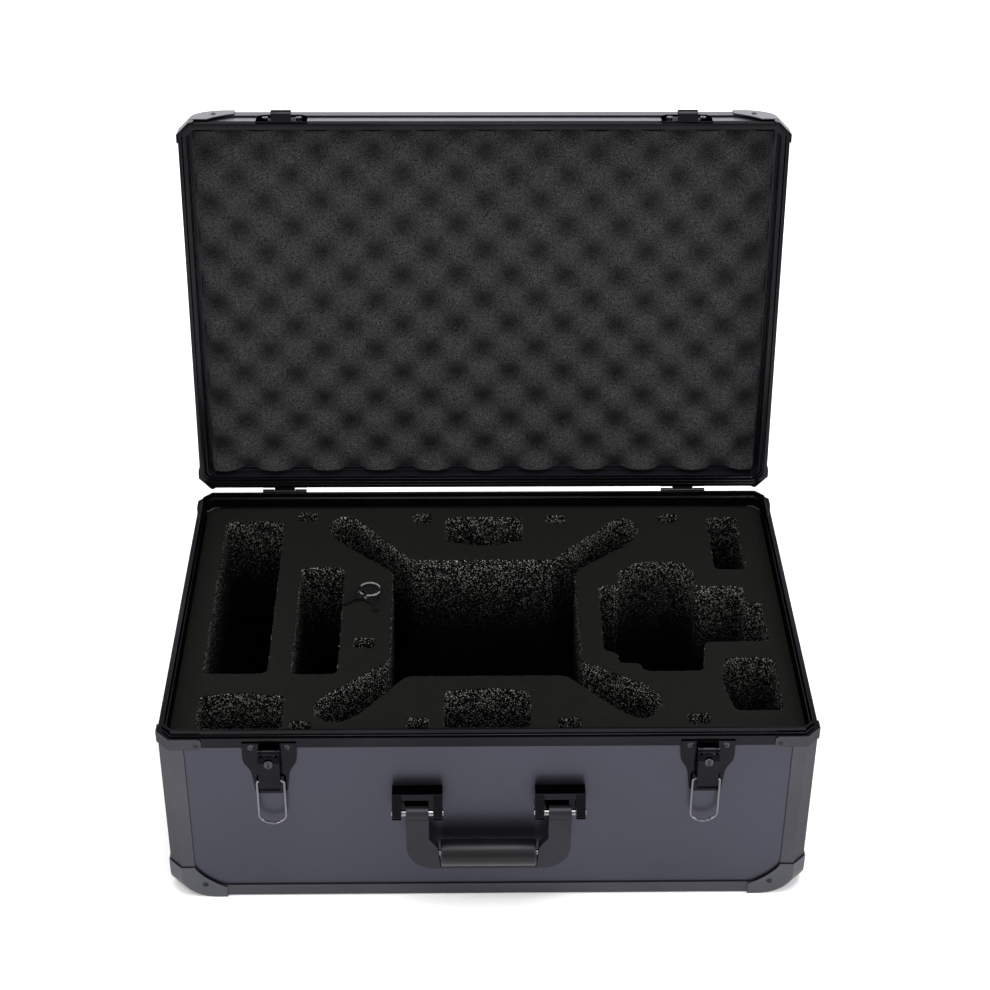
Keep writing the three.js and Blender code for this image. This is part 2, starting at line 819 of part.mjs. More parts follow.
const gripCentreZ = handlePinZ - bowDrop + bowLip + gripGap + gripRadius;
for (const [name, side] of [["left", -1], ["right", 1]]) {
  const x = side * handleSpan;
  const half = handleBracketWidth / 2;
  add(drone_case, `handle_bracket_${name}`, handleBracket(x), blackChrome);
  const pin = rodX(handlePinRadius, x - half - 0.8, x + half + 0.8, handlePinY, handlePinZ);
  add(drone_case, `handle_pin_${name}`, pin, brightSteel);
}
add(drone_case, "handle_bow", handleBow(), castFinish);

const gripHalf = gripLength / 2;
const grip = cut(
  rodX(gripRadius, -gripHalf, gripHalf, handlePinY, gripCentreZ, 24),
  rodX(rodRadius + gap, -gripHalf - 1, gripHalf + 1, handlePinY, gripCentreZ),
);
add(drone_case, "handle_grip", grip, gripFinish);
const rodHalf = gripHalf + rodReach;
add(
  drone_case,
  "handle_rod",
  rodX(rodRadius, -rodHalf, rodHalf, handlePinY, gripCentreZ),
  brightSteel,
);

// ---- Latches -----------------------------------------------------------------------------

// Plate: shoulders for two screws, narrowing to a foot, with two ears and the riveted pin.
function latchPlateSolid(x) {
  const top = baseHeight - latchPlateTop;
  const low = top - latchPlateHeight;
  const half = latchPlateWidth / 2;
  const foot = latchPlateFoot / 2;
  const shoulder = top - latchShoulder;
  const waist = low + latchWaist;
  const shape = new THREE.Shape();
  shape.moveTo(-half, top);
  shape.lineTo(-half, shoulder);
  shape.bezierCurveTo(-half, shoulder - 9, -foot - 2, shoulder - 7, -foot - 1, waist);
  shape.lineTo(-foot, low + 3);
  shape.lineTo(-foot + 3, low);
  shape.lineTo(foot - 3, low);
  shape.lineTo(foot, low + 3);
  shape.lineTo(foot + 1, waist);
  shape.bezierCurveTo(foot + 2, shoulder - 7, half, shoulder - 9, half, shoulder);
  shape.lineTo(half, top);
  const flat = frontPlate(shape, plateFace, plateFace + latchPlate, 6);
  const earShape = new THREE.Shape();
  const nose = leverPinRadius + 1.2;
  const root = plateFace + latchPlate / 2;
  earShape.moveTo(root, leverPinZ + nose);
  earShape.lineTo(root, leverPinZ - 6);
  earShape.lineTo(leverPinY + nose * 0.5, leverPinZ - nose);
  earShape.absarc(leverPinY, leverPinZ, nose, -Math.PI / 2, -1.5 * Math.PI, true);
  const ears = [-1, 1].map((side) => {
    const inner = side * earInner;
    const outer = side * (earInner + latchPlate);
    return sidePlate(earShape, Math.min(inner, outer), Math.max(inner, outer), 5);
  });
  const pin = rodX(leverPinRadius, -leverWidth / 2, leverWidth / 2, leverPinY, leverPinZ, 12);
  return join(flat, ...ears, pin).translate(x, 0, 0);
}

// Lever: a pressed channel, rolled round the pin at its top, open at the back.
function latchLever(x) {
  const half = leverWidth / 2;
  const y = (out) => leverPinY - out;
  const z = (up) => leverPinZ + up;
  // The side view, or that of the hollow inside it, which runs out through the open back.
  const outline = (inset) => {
    const back = -leverBack - (inset ? 3 : 0);
    const heel = (leverHeel * (1 - back)) / (1 + leverBack);
    const shape = new THREE.Shape();
    shape.moveTo(y(back), z(-4.5 - inset));
    shape.lineTo(y(back), z(-leverLength + heel + inset));
    shape.lineTo(y(1), z(-leverLength + inset));
    shape.quadraticCurveTo(
      y(leverRise - 0.5 - inset),
      z(-leverLength + inset),
      y(leverRise - inset),
      z(-leverLength + 5),
    );
    shape.lineTo(y(leverRise - inset), z(-5.2 - inset / 2));
    shape.lineTo(y(2.8 - inset), z(-1 - inset));
    return shape;
  };
  // The front view, likewise, through the lever's whole depth.
  const seenFromFront = (inset) => {
    const side = half - inset;
    const radius = leverEndRounding - inset;
    const turn = z(-leverLength + inset) + radius;
    const shape = new THREE.Shape();
    shape.moveTo(-side, z(leverBarrelRadius));
    shape.lineTo(-side, turn);
    shape.absarc(-side + radius, turn, radius, Math.PI, 1.5 * Math.PI, false);
    shape.absarc(side - radius, turn, radius, 1.5 * Math.PI, 2 * Math.PI, false);
    shape.lineTo(side, z(leverBarrelRadius));
    return frontPlate(shape, y(leverRise + 1), y(-2 * leverBack - 3), 5);
  };
  const body = sidePlate(outline(0), -half, half, 5).intersect(seenFromFront(0));
  const barrel = rodX(leverBarrelRadius, -half, half, leverPinY, leverPinZ);
  const hollow = sidePlate(outline(leverSkin), -half + leverCheek, half - leverCheek, 5).intersect(
    seenFromFront(leverCheek),
  );
  const slotInner = earInner - gap;
  const slotOuter = earInner + latchPlate + gap;
  const slots = [-1, 1].map((side) => {
    const x0 = Math.min(side * slotInner, side * slotOuter);
    const x1 = Math.max(side * slotInner, side * slotOuter);
    const slotBack = plateFace + 1;
    const slotFront = leverPinY - leverBarrelRadius - gap;
    return block(x0, x1, slotFront, slotBack, z(-7), z(leverBarrelRadius + 1));
  });
  return cut(
    join(body, barrel),
    hollow,
    ...slots,
    rodX(leverPinRadius + pinClearance, -half - 1, half + 1, leverPinY, leverPinZ, 12),
    rodX(bailWire + pinClearance, -half - 1, half + 1, leverPinY, bailZ, 12),
    rodY(lockRadius + gap, y(leverRise + 2), y(0), 0, z(-lockDrop)),
  ).translate(x, 0, 0);
}

// Lock barrel with a keyhole, turning in the lever's face.
function latchLock(x) {
  const z = leverPinZ - lockDrop;
  const face = leverPinY - leverRise - lockProud;
  const barrel = rodY(lockRadius, face, leverPinY - 1, 0, z);
  const keyhole = block(-0.6, 0.6, face - 1, face + 2.5, z - 2.2, z + 2.2);
  return cut(barrel, keyhole).translate(x, 0, 0);
}

// Bail: a wire loop with its ends turned in through the lever's cheeks.
function latchBail(x) {
  const leg = bailWidth / 2 - bailWire;
  const inner = leverWidth / 2 - leverCheek + 0.15;
  const corner = bailCorner;
  const bend = 7; // height of the curve at the foot of each leg
  const low = bailZ - bailLength;
  const at = (px, pz) => new THREE.Vector3(px, leverPinY, pz);
  const path = new THREE.CurvePath();
  path.add(new THREE.LineCurve3(at(-inner, bailZ), at(-leg + corner, bailZ)));
  path.add(
    new THREE.QuadraticBezierCurve3(
      at(-leg + corner, bailZ),
      at(-leg, bailZ),
      at(-leg, bailZ - corner),
    ),
  );
  path.add(new THREE.LineCurve3(at(-leg, bailZ - corner), at(-leg, low + bend + bailPoint)));
  path.add(
    new THREE.CubicBezierCurve3(
      at(-leg, low + bend + bailPoint),
      at(-leg, low + bailPoint + 2),
      at(-leg * 0.4, low),
      at(0, low),
    ),
  );
  path.add(
    new THREE.CubicBezierCurve3(
      at(0, low),
      at(leg * 0.4, low),
      at(leg, low + bailPoint + 2),
      at(leg, low + bend + bailPoint),
    ),
  );
  path.add(new THREE.LineCurve3(at(leg, low + bend + bailPoint), at(leg, bailZ - corner)));
  path.add(
    new THREE.QuadraticBezierCurve3(
      at(leg, bailZ - corner),
      at(leg, bailZ),
      at(leg - corner, bailZ),
    ),
  );
  path.add(new THREE.LineCurve3(at(leg - corner, bailZ), at(inner, bailZ)));
  const section = new THREE.Shape();
  section.absarc(0, 0, bailWire, 0, 2 * Math.PI, false);
  const wire = new THREE.ExtrudeGeometry(section, {
    steps: 40,
    curveSegments: 2,
    bevelEnabled: false,
    extrudePath: path,
  });
  return solid(wire).translate(x, 0, 0);
}

for (const [name, side] of [["left", -1], ["right", 1]]) {
  const x = side * latchSpan;
  add(drone_case, `latch_plate_${name}`, latchPlateSolid(x), blackChrome);
  add(drone_case, `latch_lever_${name}`, latchLever(x), blackChrome);
  add(drone_case, `latch_lock_${name}`, latchLock(x), brightSteel);
  add(drone_case, `latch_bail_${name}`, latchBail(x), blackChrome);
}

// ---- Hinges ------------------------------------------------------------------------------

// One leaf, drawn below the pin for the base: a plate and the knuckles it is rolled into.
function hingeLeafSolid(x, knuckles) {
  const half = hingeWidth / 2;
  const face = backFace + gap;
  const clear = hingeKnuckleRadius + 0.4;
  const flat = block(
    -half,
    half,
    face,
    face + hingeLeaf,
    baseHeight - hingeLeafHeight,
    baseHeight - clear,
  );
  const rolled = knuckles.map(([x0, x1]) => {
    const tab = block(x0, x1, face, face + hingeLeaf, baseHeight - clear - 1, baseHeight - 1);
    const web = block(x0, x1, face, hingeY, baseHeight - 2.4, baseHeight - 0.9);
    return join(tab, web, rodX(hingeKnuckleRadius, x0, x1, hingeY, baseHeight));
  });
  const bore = rodX(hingePinRadius + pinClearance, -half - 1, half + 1, hingeY, baseHeight, 12);
  return cut(join(flat, ...rolled), bore).translate(x, 0, 0);
}

const knuckle = hingeWidth * hingeKnuckleShare;
const outerKnuckles = [
  [-hingeWidth / 2, -hingeWidth / 2 + knuckle],
  [hingeWidth / 2 - knuckle, hingeWidth / 2],
];
const middleKnuckle = [[-hingeWidth / 2 + knuckle + gap, hingeWidth / 2 - knuckle - gap]];

for (const [name, side] of [["left", -1], ["right", 1]]) {
  const x = side * hingeSpan;
  const half = hingeWidth / 2;
  add(drone_case, `hinge_base_leaf_${name}`, hingeLeafSolid(x, outerKnuckles), blackChrome);
  const pin = rodX(hingePinRadius, x - half, x + half, hingeY, baseHeight, 12);
  add(drone_case, `hinge_pin_${name}`, pin, brightSteel);
  // The lid's leaf is the same pressing turned over, and it is drawn with the lid shut.
  const leaf = hingeLeafSolid(x, middleKnuckle).translate(0, 0, -baseHeight);
  add(lid, `hinge_lid_leaf_${name}`, leaf.mirror([0, 0, 1]).translate(0, -hingeY, 0), blackChrome);
}

// ---- Lid, drawn shut about the hinge pins and then swung open ------------------------------

// Everything in the lid is drawn upwards from the rim plane, with the case's own x and y.
function addToLid(name, made, material) {
  add(lid, name, made.translate(0, -hingeY, 0), material);
}

const lidBoard = lidHeight - panel; // inside face of the lid panel
const rebateOuter = tongueInset - gap; // the tongue laps inside this face
const rebateTop = tongueHeight + gap;

// A piece drawn as for the base, turned over to close the lid's top.
function turnedOver(made) {
  return made.mirror([0, 0, 1]).translate(0, 0, lidHeight);
}

addToLid("lid_panel", turnedOver(broadPanel()), boardFinish);

// The low side walls of the lid, in one band.
const lidWallHeight = lidHeight - rebateTop - sheet - gap;
const lidWalls = rounded(band(wallInset, wallInset + panel, wallBottom, lidWallHeight), wallInset);
addToLid("lid_wall_band", turnedOver(lidWalls), boardFinish);

// Lid rim: an outer flange, a rebate that closes over the tongue, and an inner flange. The
// rebate is open to the inside, so that the back tongue can swing into it.
addToLid(
  "lid_rim",
  join(
    band(0, sheet, rimGap, rimFlange),
    band(0, rebateOuter, rimGap, rimGap + rimWeb),
    band(rebateOuter - sheet, rebateOuter, rimGap, rebateTop + sheet),
    band(rebateOuter - sheet, innerFace, rebateTop, rebateTop + sheet),
    band(innerInset, innerFace, rebateTop, rebateTop + sheet + lidRimLip),
  ),
  frameFinish,
);

// The lid's edge trim is the base's, turned over.
addToLid("lid_edge_trim", turnedOver(edgeTrim), frameFinish);

// The lid's corner bracket is the base's, cut off above the lid's rim corner piece.
const lidCornerTop = rimFlange + 1;
const lidCorner = rimCorner(rimGap, lidCornerTop, lidCornerFront, lidCornerSide);
const aboveCorner = planSlab(2 * bracketOut, lidCornerTop + gap, lidHeight + bracketHeight);
const lidBracket = turnedOver(bracket).intersect(aboveCorner);
for (const [name, right, back] of corners) {
  addToLid(`lid_corner_${name}`, atCorner(lidCorner, right, back), bracketFinish);
  addToLid(`lid_bracket_${name}`, atCorner(lidBracket, right, back), bracketFinish);
}

const lidFoamInset = innerFace + lidFoamGap;
const lidFoamTop = lidBoard - gap - sheet - gap;
addToLid(
  "lid_foam",
  planSlab(lidFoamInset, lidFoamTop - lidFoamDepth, lidFoamTop),
  lidFoamFinish,
);

// Catch: a screwed plate with the hook that the bail pulls on.
function catchSolid(x) {
  const half = catchWidth / 2;
  const top = catchLift + catchHeight;
  const shape = new THREE.Shape();
  shape.moveTo(-half, catchLift);
  shape.lineTo(half, catchLift);
  shape.lineTo(half, top - catchRounding);
  shape.quadraticCurveTo(half, top, half - catchRounding, top);
  shape.lineTo(-half + catchRounding, top);
  shape.quadraticCurveTo(-half, top, -half, top - catchRounding);
  const flat = frontPlate(shape, plateFace, plateFace + latchPlate, 5);
  const out = plateFace - catchHookDepth + latchPlate;
  const lip = out + catchHookLip;
  const hook = new THREE.Shape();
  hook.moveTo(plateFace + latchPlate / 2, rimGap + 0.6);
  hook.lineTo(plateFace + latchPlate / 2, catchHookFloor + 3);
  hook.lineTo(plateFace - 1, catchHookFloor);
  hook.lineTo(lip, catchHookFloor);
  hook.lineTo(lip, catchHookTip);
  hook.lineTo(out + 1, catchHookTip);
  hook.lineTo(out, catchHookTip - 1);
  hook.lineTo(out, rimGap + 2.2);
  hook.lineTo(out + 1.6, rimGap + 0.6);
  const halfHook = catchHookWidth / 2;
  return join(flat, sidePlate(hook, -halfHook, halfHook, 4)).translate(x, 0, 0);
}

for (const [name, side] of [["left", -1], ["right", 1]]) {
  addToLid(`catch_${name}`, catchSolid(side * latchSpan), blackChrome);
}

lid.position.set(0, hingeY, baseHeight);
lid.rotation.x = THREE.MathUtils.degToRad(-openAngle);

export default drone_case;
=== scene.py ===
"""Drone carrying case, lid open: finishes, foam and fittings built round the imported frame.

Lengths are in metres; mm turns a size written in millimetres into metres. +Z is up and -Y is
the front. Pieces of the lid are worked out with the lid shut and then swung open.
"""
import json
import math

import bmesh
import bpy
import numpy as np
from mathutils import Matrix, Vector
from mathutils.geometry import delaunay_2d_cdt


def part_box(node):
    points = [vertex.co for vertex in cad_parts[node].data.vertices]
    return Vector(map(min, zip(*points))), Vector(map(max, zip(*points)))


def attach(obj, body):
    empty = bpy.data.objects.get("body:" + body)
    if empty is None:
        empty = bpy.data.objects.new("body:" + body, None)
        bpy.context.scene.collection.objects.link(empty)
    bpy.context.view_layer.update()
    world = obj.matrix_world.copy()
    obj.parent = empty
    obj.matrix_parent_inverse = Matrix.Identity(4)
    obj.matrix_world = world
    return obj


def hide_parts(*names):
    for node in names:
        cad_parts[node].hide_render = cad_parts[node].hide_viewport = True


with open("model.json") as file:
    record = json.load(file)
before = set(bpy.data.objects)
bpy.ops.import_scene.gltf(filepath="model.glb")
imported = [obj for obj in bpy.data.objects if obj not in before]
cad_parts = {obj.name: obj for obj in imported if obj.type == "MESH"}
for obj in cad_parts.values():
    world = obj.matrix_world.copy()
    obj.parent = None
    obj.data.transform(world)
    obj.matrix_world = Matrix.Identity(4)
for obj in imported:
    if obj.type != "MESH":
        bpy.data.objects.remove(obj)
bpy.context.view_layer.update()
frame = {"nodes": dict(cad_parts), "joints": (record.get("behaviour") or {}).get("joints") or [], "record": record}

mm = 0.001
scene = bpy.context.scene

# ---- Camera ------------------------------------------------------------------------------
# The case is seen from above its front, a little to the left of its middle.

camera_data = bpy.data.cameras.new("camera")
camera_data.sensor_width = 36
camera_data.lens = 75.14
camera_data.clip_end = 50
camera = bpy.data.objects.new("camera", camera_data)
scene.collection.objects.link(camera)
camera_place = (-0.0200, -1.3546, 1.1726)
look_down, look_aside, lean = math.radians(33.72), math.radians(-1.12), math.radians(-0.41)
camera.matrix_world = (
    Matrix.Translation(camera_place)
    @ Matrix.Rotation(look_aside, 4, "Z")
    @ Matrix.Rotation(math.pi / 2 - look_down, 4, "X")
    @ Matrix.Rotation(-lean, 4, "Z")
)
scene.camera = camera

# ---- Boards ------------------------------------------------------------------------------
# Six laminated panels, 4 mm thick, with a satin grey metallic skin that is faintly pebbled.
# Their edges sit in the slots of the frame.

riding = {}
for body_name, node_names in frame["record"]["behaviour"]["bodies"].items():
    riding.update({node: body_name for node in node_names})


def finish_of(name, colour, metallic, roughness, grain=900, depth=0.02, swing=0.15, patch=14,
              edge=1.0):
    """A hard finish. Fine noise at `grain` cells a metre raises the surface by `depth` mm and
    moves its roughness; slow noise at `patch` cells a metre shades the colour by `swing`. `edge`
    is the strength of its reflection at a glancing angle."""
    material = bpy.data.materials.new(name)
    material.use_nodes = True
    nodes, links = material.node_tree.nodes, material.node_tree.links
    shader = nodes["Principled BSDF"]
    shader.inputs["Metallic"].default_value = metallic
    shader.inputs["Specular Tint"].default_value = (edge, edge, edge, 1)
    place = nodes.new("ShaderNodeTexCoord")
    fine = nodes.new("ShaderNodeTexNoise")
    fine.inputs["Scale"].default_value = grain
    fine.inputs["Detail"].default_value = 3
    broad = nodes.new("ShaderNodeTexNoise")
    broad.inputs["Scale"].default_value = patch
    broad.inputs["Detail"].default_value = 4
    shade = nodes.new("ShaderNodeValToRGB")
    for stop, level in zip(shade.color_ramp.elements, (1 - swing, 1 + swing)):
        stop.color = (*(part * level for part in colour), 1)
    shade.color_ramp.elements[0].position = 0.35
    shade.color_ramp.elements[1].position = 0.65
    gloss = nodes.new("ShaderNodeMapRange")
    gloss.inputs["To Min"].default_value = roughness * 0.85
    gloss.inputs["To Max"].default_value = roughness * 1.15
    relief = nodes.new("ShaderNodeBump")
    relief.inputs["Distance"].default_value = depth * mm
    relief.inputs["Strength"].default_value = 0.6
    for texture in (fine, broad):
        links.new(place.outputs["Object"], texture.inputs["Vector"])
    links.new(broad.outputs["Fac"], shade.inputs["Fac"])
    links.new(shade.outputs["Color"], shader.inputs["Base Color"])
    links.new(fine.outputs["Fac"], gloss.inputs["Value"])
    links.new(gloss.outputs["Result"], shader.inputs["Roughness"])
    links.new(fine.outputs["Fac"], relief.inputs["Height"])
    links.new(relief.outputs["Normal"], shader.inputs["Normal"])
    return material


def link_piece(piece, body, stands_for=()):
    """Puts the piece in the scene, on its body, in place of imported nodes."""
    scene.collection.objects.link(piece)
    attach(piece, body)
    if stands_for:
        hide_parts(*stands_for)


def eased(node, edge, material, smooth=32):
    """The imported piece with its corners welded, its flat faces made whole and its edges eased
    by a bevel of `edge` mm, as pressing, casting and polishing leave them."""
    mesh = bpy.data.meshes.new(node + "_eased")
    shape = bmesh.new()
    shape.from_mesh(frame["nodes"][node].data)
    bmesh.ops.remove_doubles(shape, verts=shape.verts, dist=0.004 * mm)
    bmesh.ops.dissolve_limit(
        shape, angle_limit=math.radians(1), verts=shape.verts, edges=shape.edges
    )
    shape.to_mesh(mesh)
    shape.free()
    mesh.polygons.foreach_set("use_smooth", [True] * len(mesh.polygons))
    mesh.set_sharp_from_angle(angle=math.radians(smooth))
    mesh.materials.append(material)
    piece = bpy.data.objects.new(node + "_eased", mesh)
    bevel = piece.modifiers.new("eased edges", "BEVEL")
    bevel.width = edge * mm
    bevel.segments = 2
    bevel.limit_method = "ANGLE"
    bevel.angle_limit = math.radians(smooth)
    bevel.harden_normals = True
    link_piece(piece, riding[node], [node])


board_skin = finish_of(
    "board skin", (0.049, 0.049, 0.065), 0.9, 0.36, grain=1500, depth=0.012, swing=0.05, patch=6,
    edge=0.75
)
for node in ("bottom_panel", "front_panel", "back_panel", "left_panel", "right_panel",
             "lid_panel", "lid_wall_band"):
    eased(node, 0.25, board_skin)

# ---- Rims --------------------------------------------------------------------------------
# The two black anodised extrusions that close the shells. The base's carries an upright tongue
# and the lid's a rebate that closes over it; both are mitred at the cut corners.

rim_black = finish_of("rim black anodised", (0.0145, 0.0145, 0.0165), 0.95, 0.18, swing=0.12,
                      edge=0.2)
rim_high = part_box("base_rim")[1]
half_width, half_depth = rim_high.x, rim_high.y
tongue_height = 5 * mm
rim_plane = rim_high.z - tongue_height
corner_cut = 9.7 * mm


def rounded_section(corners, radius, steps=3):
    """Closed outline from corner points, in mm: each corner is replaced by the quadratic curve
    (1-t)^2 A + 2t(1-t) P + t^2 B between two points A and B one `radius` away from it."""
    here = np.array(corners, float)
    before, after = np.roll(here, 1, 0) - here, np.roll(here, -1, 0) - here
    run_in = np.linalg.norm(before, axis=1, keepdims=True)
    run_out = np.linalg.norm(after, axis=1, keepdims=True)
    bite = np.minimum(radius, 0.45 * np.minimum(run_in, run_out))
    start, end = here + before / run_in * bite, here + after / run_out * bite
    t = np.linspace(0, 1, steps + 1)[None, :, None]
    curve = (1 - t) ** 2 * start[:, None] + 2 * t * (1 - t) * here[:, None] + t**2 * end[:, None]
    return curve.reshape(-1, 2) * mm


def plan_line(inset):
    """Eight corners of the cut-cornered plan for each inset: the sides move in by the inset and
    each 45 degree cut shortens by inset (2 - sqrt 2)."""
    leg = corner_cut - inset * (2 - math.sqrt(2))
    side_x = np.array([-1, 1, 1, 1, 1, -1, -1, -1])[:, None]
    side_y = np.array([-1, -1, -1, 1, 1, 1, 1, -1])[:, None]
    along_x = np.array([1, 1, 0, 0, 1, 1, 0, 0])[:, None]
    x = side_x * (half_width - inset - leg * along_x)
    y = side_y * (half_depth - inset - leg * (1 - along_x))
    return np.stack([x, y], axis=-1)


def grid_faces(rows, columns, rows_close=False, columns_close=False):
    """Quads of a grid of points numbered row by row, as an array of four indices each."""
    r = np.arange(rows if rows_close else rows - 1)[:, None]
    c = np.arange(columns if columns_close else columns - 1)[None, :]
    next_r, next_c = (r + 1) % rows, (c + 1) % columns
    quads = [r * columns + c, r * columns + next_c, next_r * columns + next_c, next_r * columns + c]
    return np.stack(np.broadcast_arrays(*quads), axis=-1).reshape(-1, 4)


def make_piece(name, points, faces, materials, body, stands_for=(), smooth=32,
               face_materials=None):
    """A piece from an array of points and lists of faces: doubled points at poles are merged,
    faces are turned outwards, and edges sharper than `smooth` degrees stay sharp."""
    mesh = bpy.data.meshes.new(name)
    mesh.from_pydata(np.asarray(points).reshape(-1, 3).tolist(), [], faces)
    for material in materials:
        mesh.materials.append(material)
    if face_materials is not None:
        mesh.polygons.foreach_set("material_index", np.asarray(face_materials, np.int32))
    shape = bmesh.new()
    shape.from_mesh(mesh)
    bmesh.ops.remove_doubles(shape, verts=shape.verts, dist=1e-6)
    bmesh.ops.recalc_face_normals(shape, faces=shape.faces)
    shape.to_mesh(mesh)
    shape.free()
    mesh.polygons.foreach_set("use_smooth", [True] * len(mesh.polygons))
    mesh.set_sharp_from_angle(angle=math.radians(smooth))
    piece = bpy.data.objects.new(name, mesh)
    link_piece(piece, body, stands_for)
    return piece


hinge = next(joint for joint in frame["joints"] if joint["name"] == "lid_hinge")
hinge_line = np.array(hinge["pos_m"])
open_angle = math.radians(hinge["range_deg"][1])


def swung_open(points):
    """Points of the shut lid turned back about the hinge line by the angle it stands open."""
    cos, sin = math.cos(open_angle), math.sin(open_angle)
    away = np.asarray(points, float) - hinge_line
    y = away[..., 1] * cos + away[..., 2] * sin
    z = -away[..., 1] * sin + away[..., 2] * cos
    return np.stack([away[..., 0], y, z], axis=-1) + hinge_line


def extruded_round(section):
    """The section, as inset and height, carried round the eight corners of the plan."""
    ring = plan_line(section[:, 0][None, :])
    height = np.broadcast_to(rim_plane + section[:, 1], ring.shape[:2])
    return np.concatenate([ring, height[..., None]], axis=-1)


section_round = 0.45
base_rim_section = rounded_section(
    [(0, -9), (0, 0), (2.9, 0), (3.4, 0.4), (3.4, 5), (5.2, 5), (5.2, 0), (6.6, 0), (6.6, -9),
     (5.6, -9), (5.6, -1.2), (1, -1.2), (1, -9)], section_round)
lid_rim_section = rounded_section(
    [(0, 0.4), (3.1, 0.4), (3.1, 5.3), (6.6, 5.3), (6.6, 9), (5.6, 9), (5.6, 6.3), (2.1, 6.3),
     (2.1, 1.6), (1, 1.6), (1, 9), (0, 9)], section_round)
for body, section in (("base", base_rim_section), ("lid", lid_rim_section)):
    points = extruded_round(section)
    faces = grid_faces(*points.shape[:2], True, True).tolist()
    make_piece(f"{body}_rim_extrusion", swung_open(points) if body == "lid" else points, faces,
               [rim_black], body, [f"{body}_rim"])

# ---- Edge trims and corner posts -----------------------------------------------------------
# Anodised extrusions along every other edge: they lap the boards by about 10 mm each way, and
# the posts carry the 45 degree faces of the upright corners.

frame_anodised = finish_of("frame anodised", (0.056, 0.056, 0.065), 0.9, 0.34, swing=0.08,
                           edge=0.5)
CORNERS = [f"{end}_{side}" for end in ("front", "back") for side in ("left", "right")]
for node in ["base_edge_trim", "lid_edge_trim"] + [f"corner_post_{c}" for c in CORNERS]:
    eased(node, 0.35, frame_anodised)

# ---- Corner brackets and their screws ------------------------------------------------------
# Pressed steel corners, painted satin black-grey: low pieces that tie the rims together, and
# deep ones round the bottom and lid corners. Each is held by small domed screws.

bracket_paint = finish_of("bracket paint", (0.062, 0.062, 0.074), 0.6, 0.38, grain=700, depth=0.03,
                          edge=0.5)
corner_black = finish_of("rim corner black", (0.036, 0.036, 0.042), 0.8, 0.25, edge=0.4)
screw_black = finish_of("screw black", (0.03, 0.03, 0.034), 0.9, 0.28, grain=2500)
for corner in CORNERS:
    for kind in ("base_bracket", "lid_bracket"):
        eased(f"{kind}_{corner}", 0.35, bracket_paint)
    for kind in ("rim_corner", "lid_corner"):
        eased(f"{kind}_{corner}", 0.35, corner_black)


def screw_heads(name, centres, outward, radius, material, body, recess="cross", rise=0.42,
                stands_for=(), lid=False):
    """Domed heads, all in one piece. Each is a polar grid whose height is
    rise * sqrt(1 - r^2) * radius, less a cross or a single slot sunk near its middle."""
    dome_rings, sides = 11, 32
    r = np.concatenate([np.linspace(0, 1, dome_rings) ** 0.8, [1.0, 0.0]])[:, None]
    turn = np.linspace(0, 2 * np.pi, sides, endpoint=False)[None, :]
    u, v = r * np.cos(turn), r * np.sin(turn)
    dome = np.sqrt(np.clip(1 - r**2, 0, 1)) + 0 * turn
    narrow = np.abs(u) if recess == "slot" else np.minimum(np.abs(u), np.abs(v))
    sunk = np.clip((0.19 - narrow) / 0.08, 0, 1) * np.clip((0.68 - r) / 0.1, 0, 1)
    h = rise * dome - 0.3 * sunk
    h[-2:] = -0.12  # the flat back, a little below the seat
    flat = np.stack([u, v, h], axis=-1).reshape(-1, 3) * radius
    faces = grid_faces(len(r), sides, False, True)
    out = np.array(outward, float)
    up = np.array([0, 0, 1.0]) if abs(out[2]) < 0.9 else np.array([0, 1.0, 0])
    right = np.cross(up, out)
    basis = np.stack([right, np.cross(out, right), out])
    heads = (flat @ basis)[None] + np.array(centres, float)[:, None]
    if lid:
        heads = swung_open(heads)
    faces = (faces[None] + np.arange(len(centres))[:, None, None] * len(flat)).reshape(-1, 4)
    make_piece(name, heads, faces.tolist(), [material], body, stands_for, 60)


def four_ways(x, y, z):
    """A place and its mirror images to the left and to the back."""
    return [(sx * x, sy * y, z) for sx in (-1, 1) for sy in (-1, 1)]


def face_screws(name, across_front, across_side, height, out, radius, body, lid=False):
    """Screws on the front, back and side faces near each corner, at one height."""
    ends = four_ways(across_front, half_depth + out, height)
    flanks = four_ways(half_width + out, across_side, height)
    faces = {"front": (ends, 1, -1), "back": (ends, 1, 1), "left": (flanks, 0, -1),
             "right": (flanks, 0, 1)}
    for side, (places, axis, sign) in faces.items():
        outward = [0, 0, 0]
        outward[axis] = sign
        places = [place for place in places if place[axis] * sign > 0]
        screw_heads(f"{name}_{side}", places, outward, radius, screw_black, body, lid=lid)


sheet_face = 1.3 * mm  # the brackets' outer faces stand this far outside the frame
case_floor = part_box("base_bracket_front_left")[0].z
lid_top = rim_plane + 33.5 * mm
bracket_screw_x, bracket_screw_y = 222.8 * mm, half_depth - 27.2 * mm
face_screws("rim_corner_screws", 220.5 * mm, half_depth - 14 * mm, rim_plane - 6 * mm,
            sheet_face, 2.3 * mm, "base")
face_screws("base_bracket_screws", bracket_screw_x, bracket_screw_y, case_floor + 13.7 * mm,
            sheet_face, 2.5 * mm, "base")
face_screws("lid_bracket_screws", bracket_screw_x, bracket_screw_y, lid_top - 8 * mm,
            sheet_face, 2.3 * mm, "lid", lid=True)
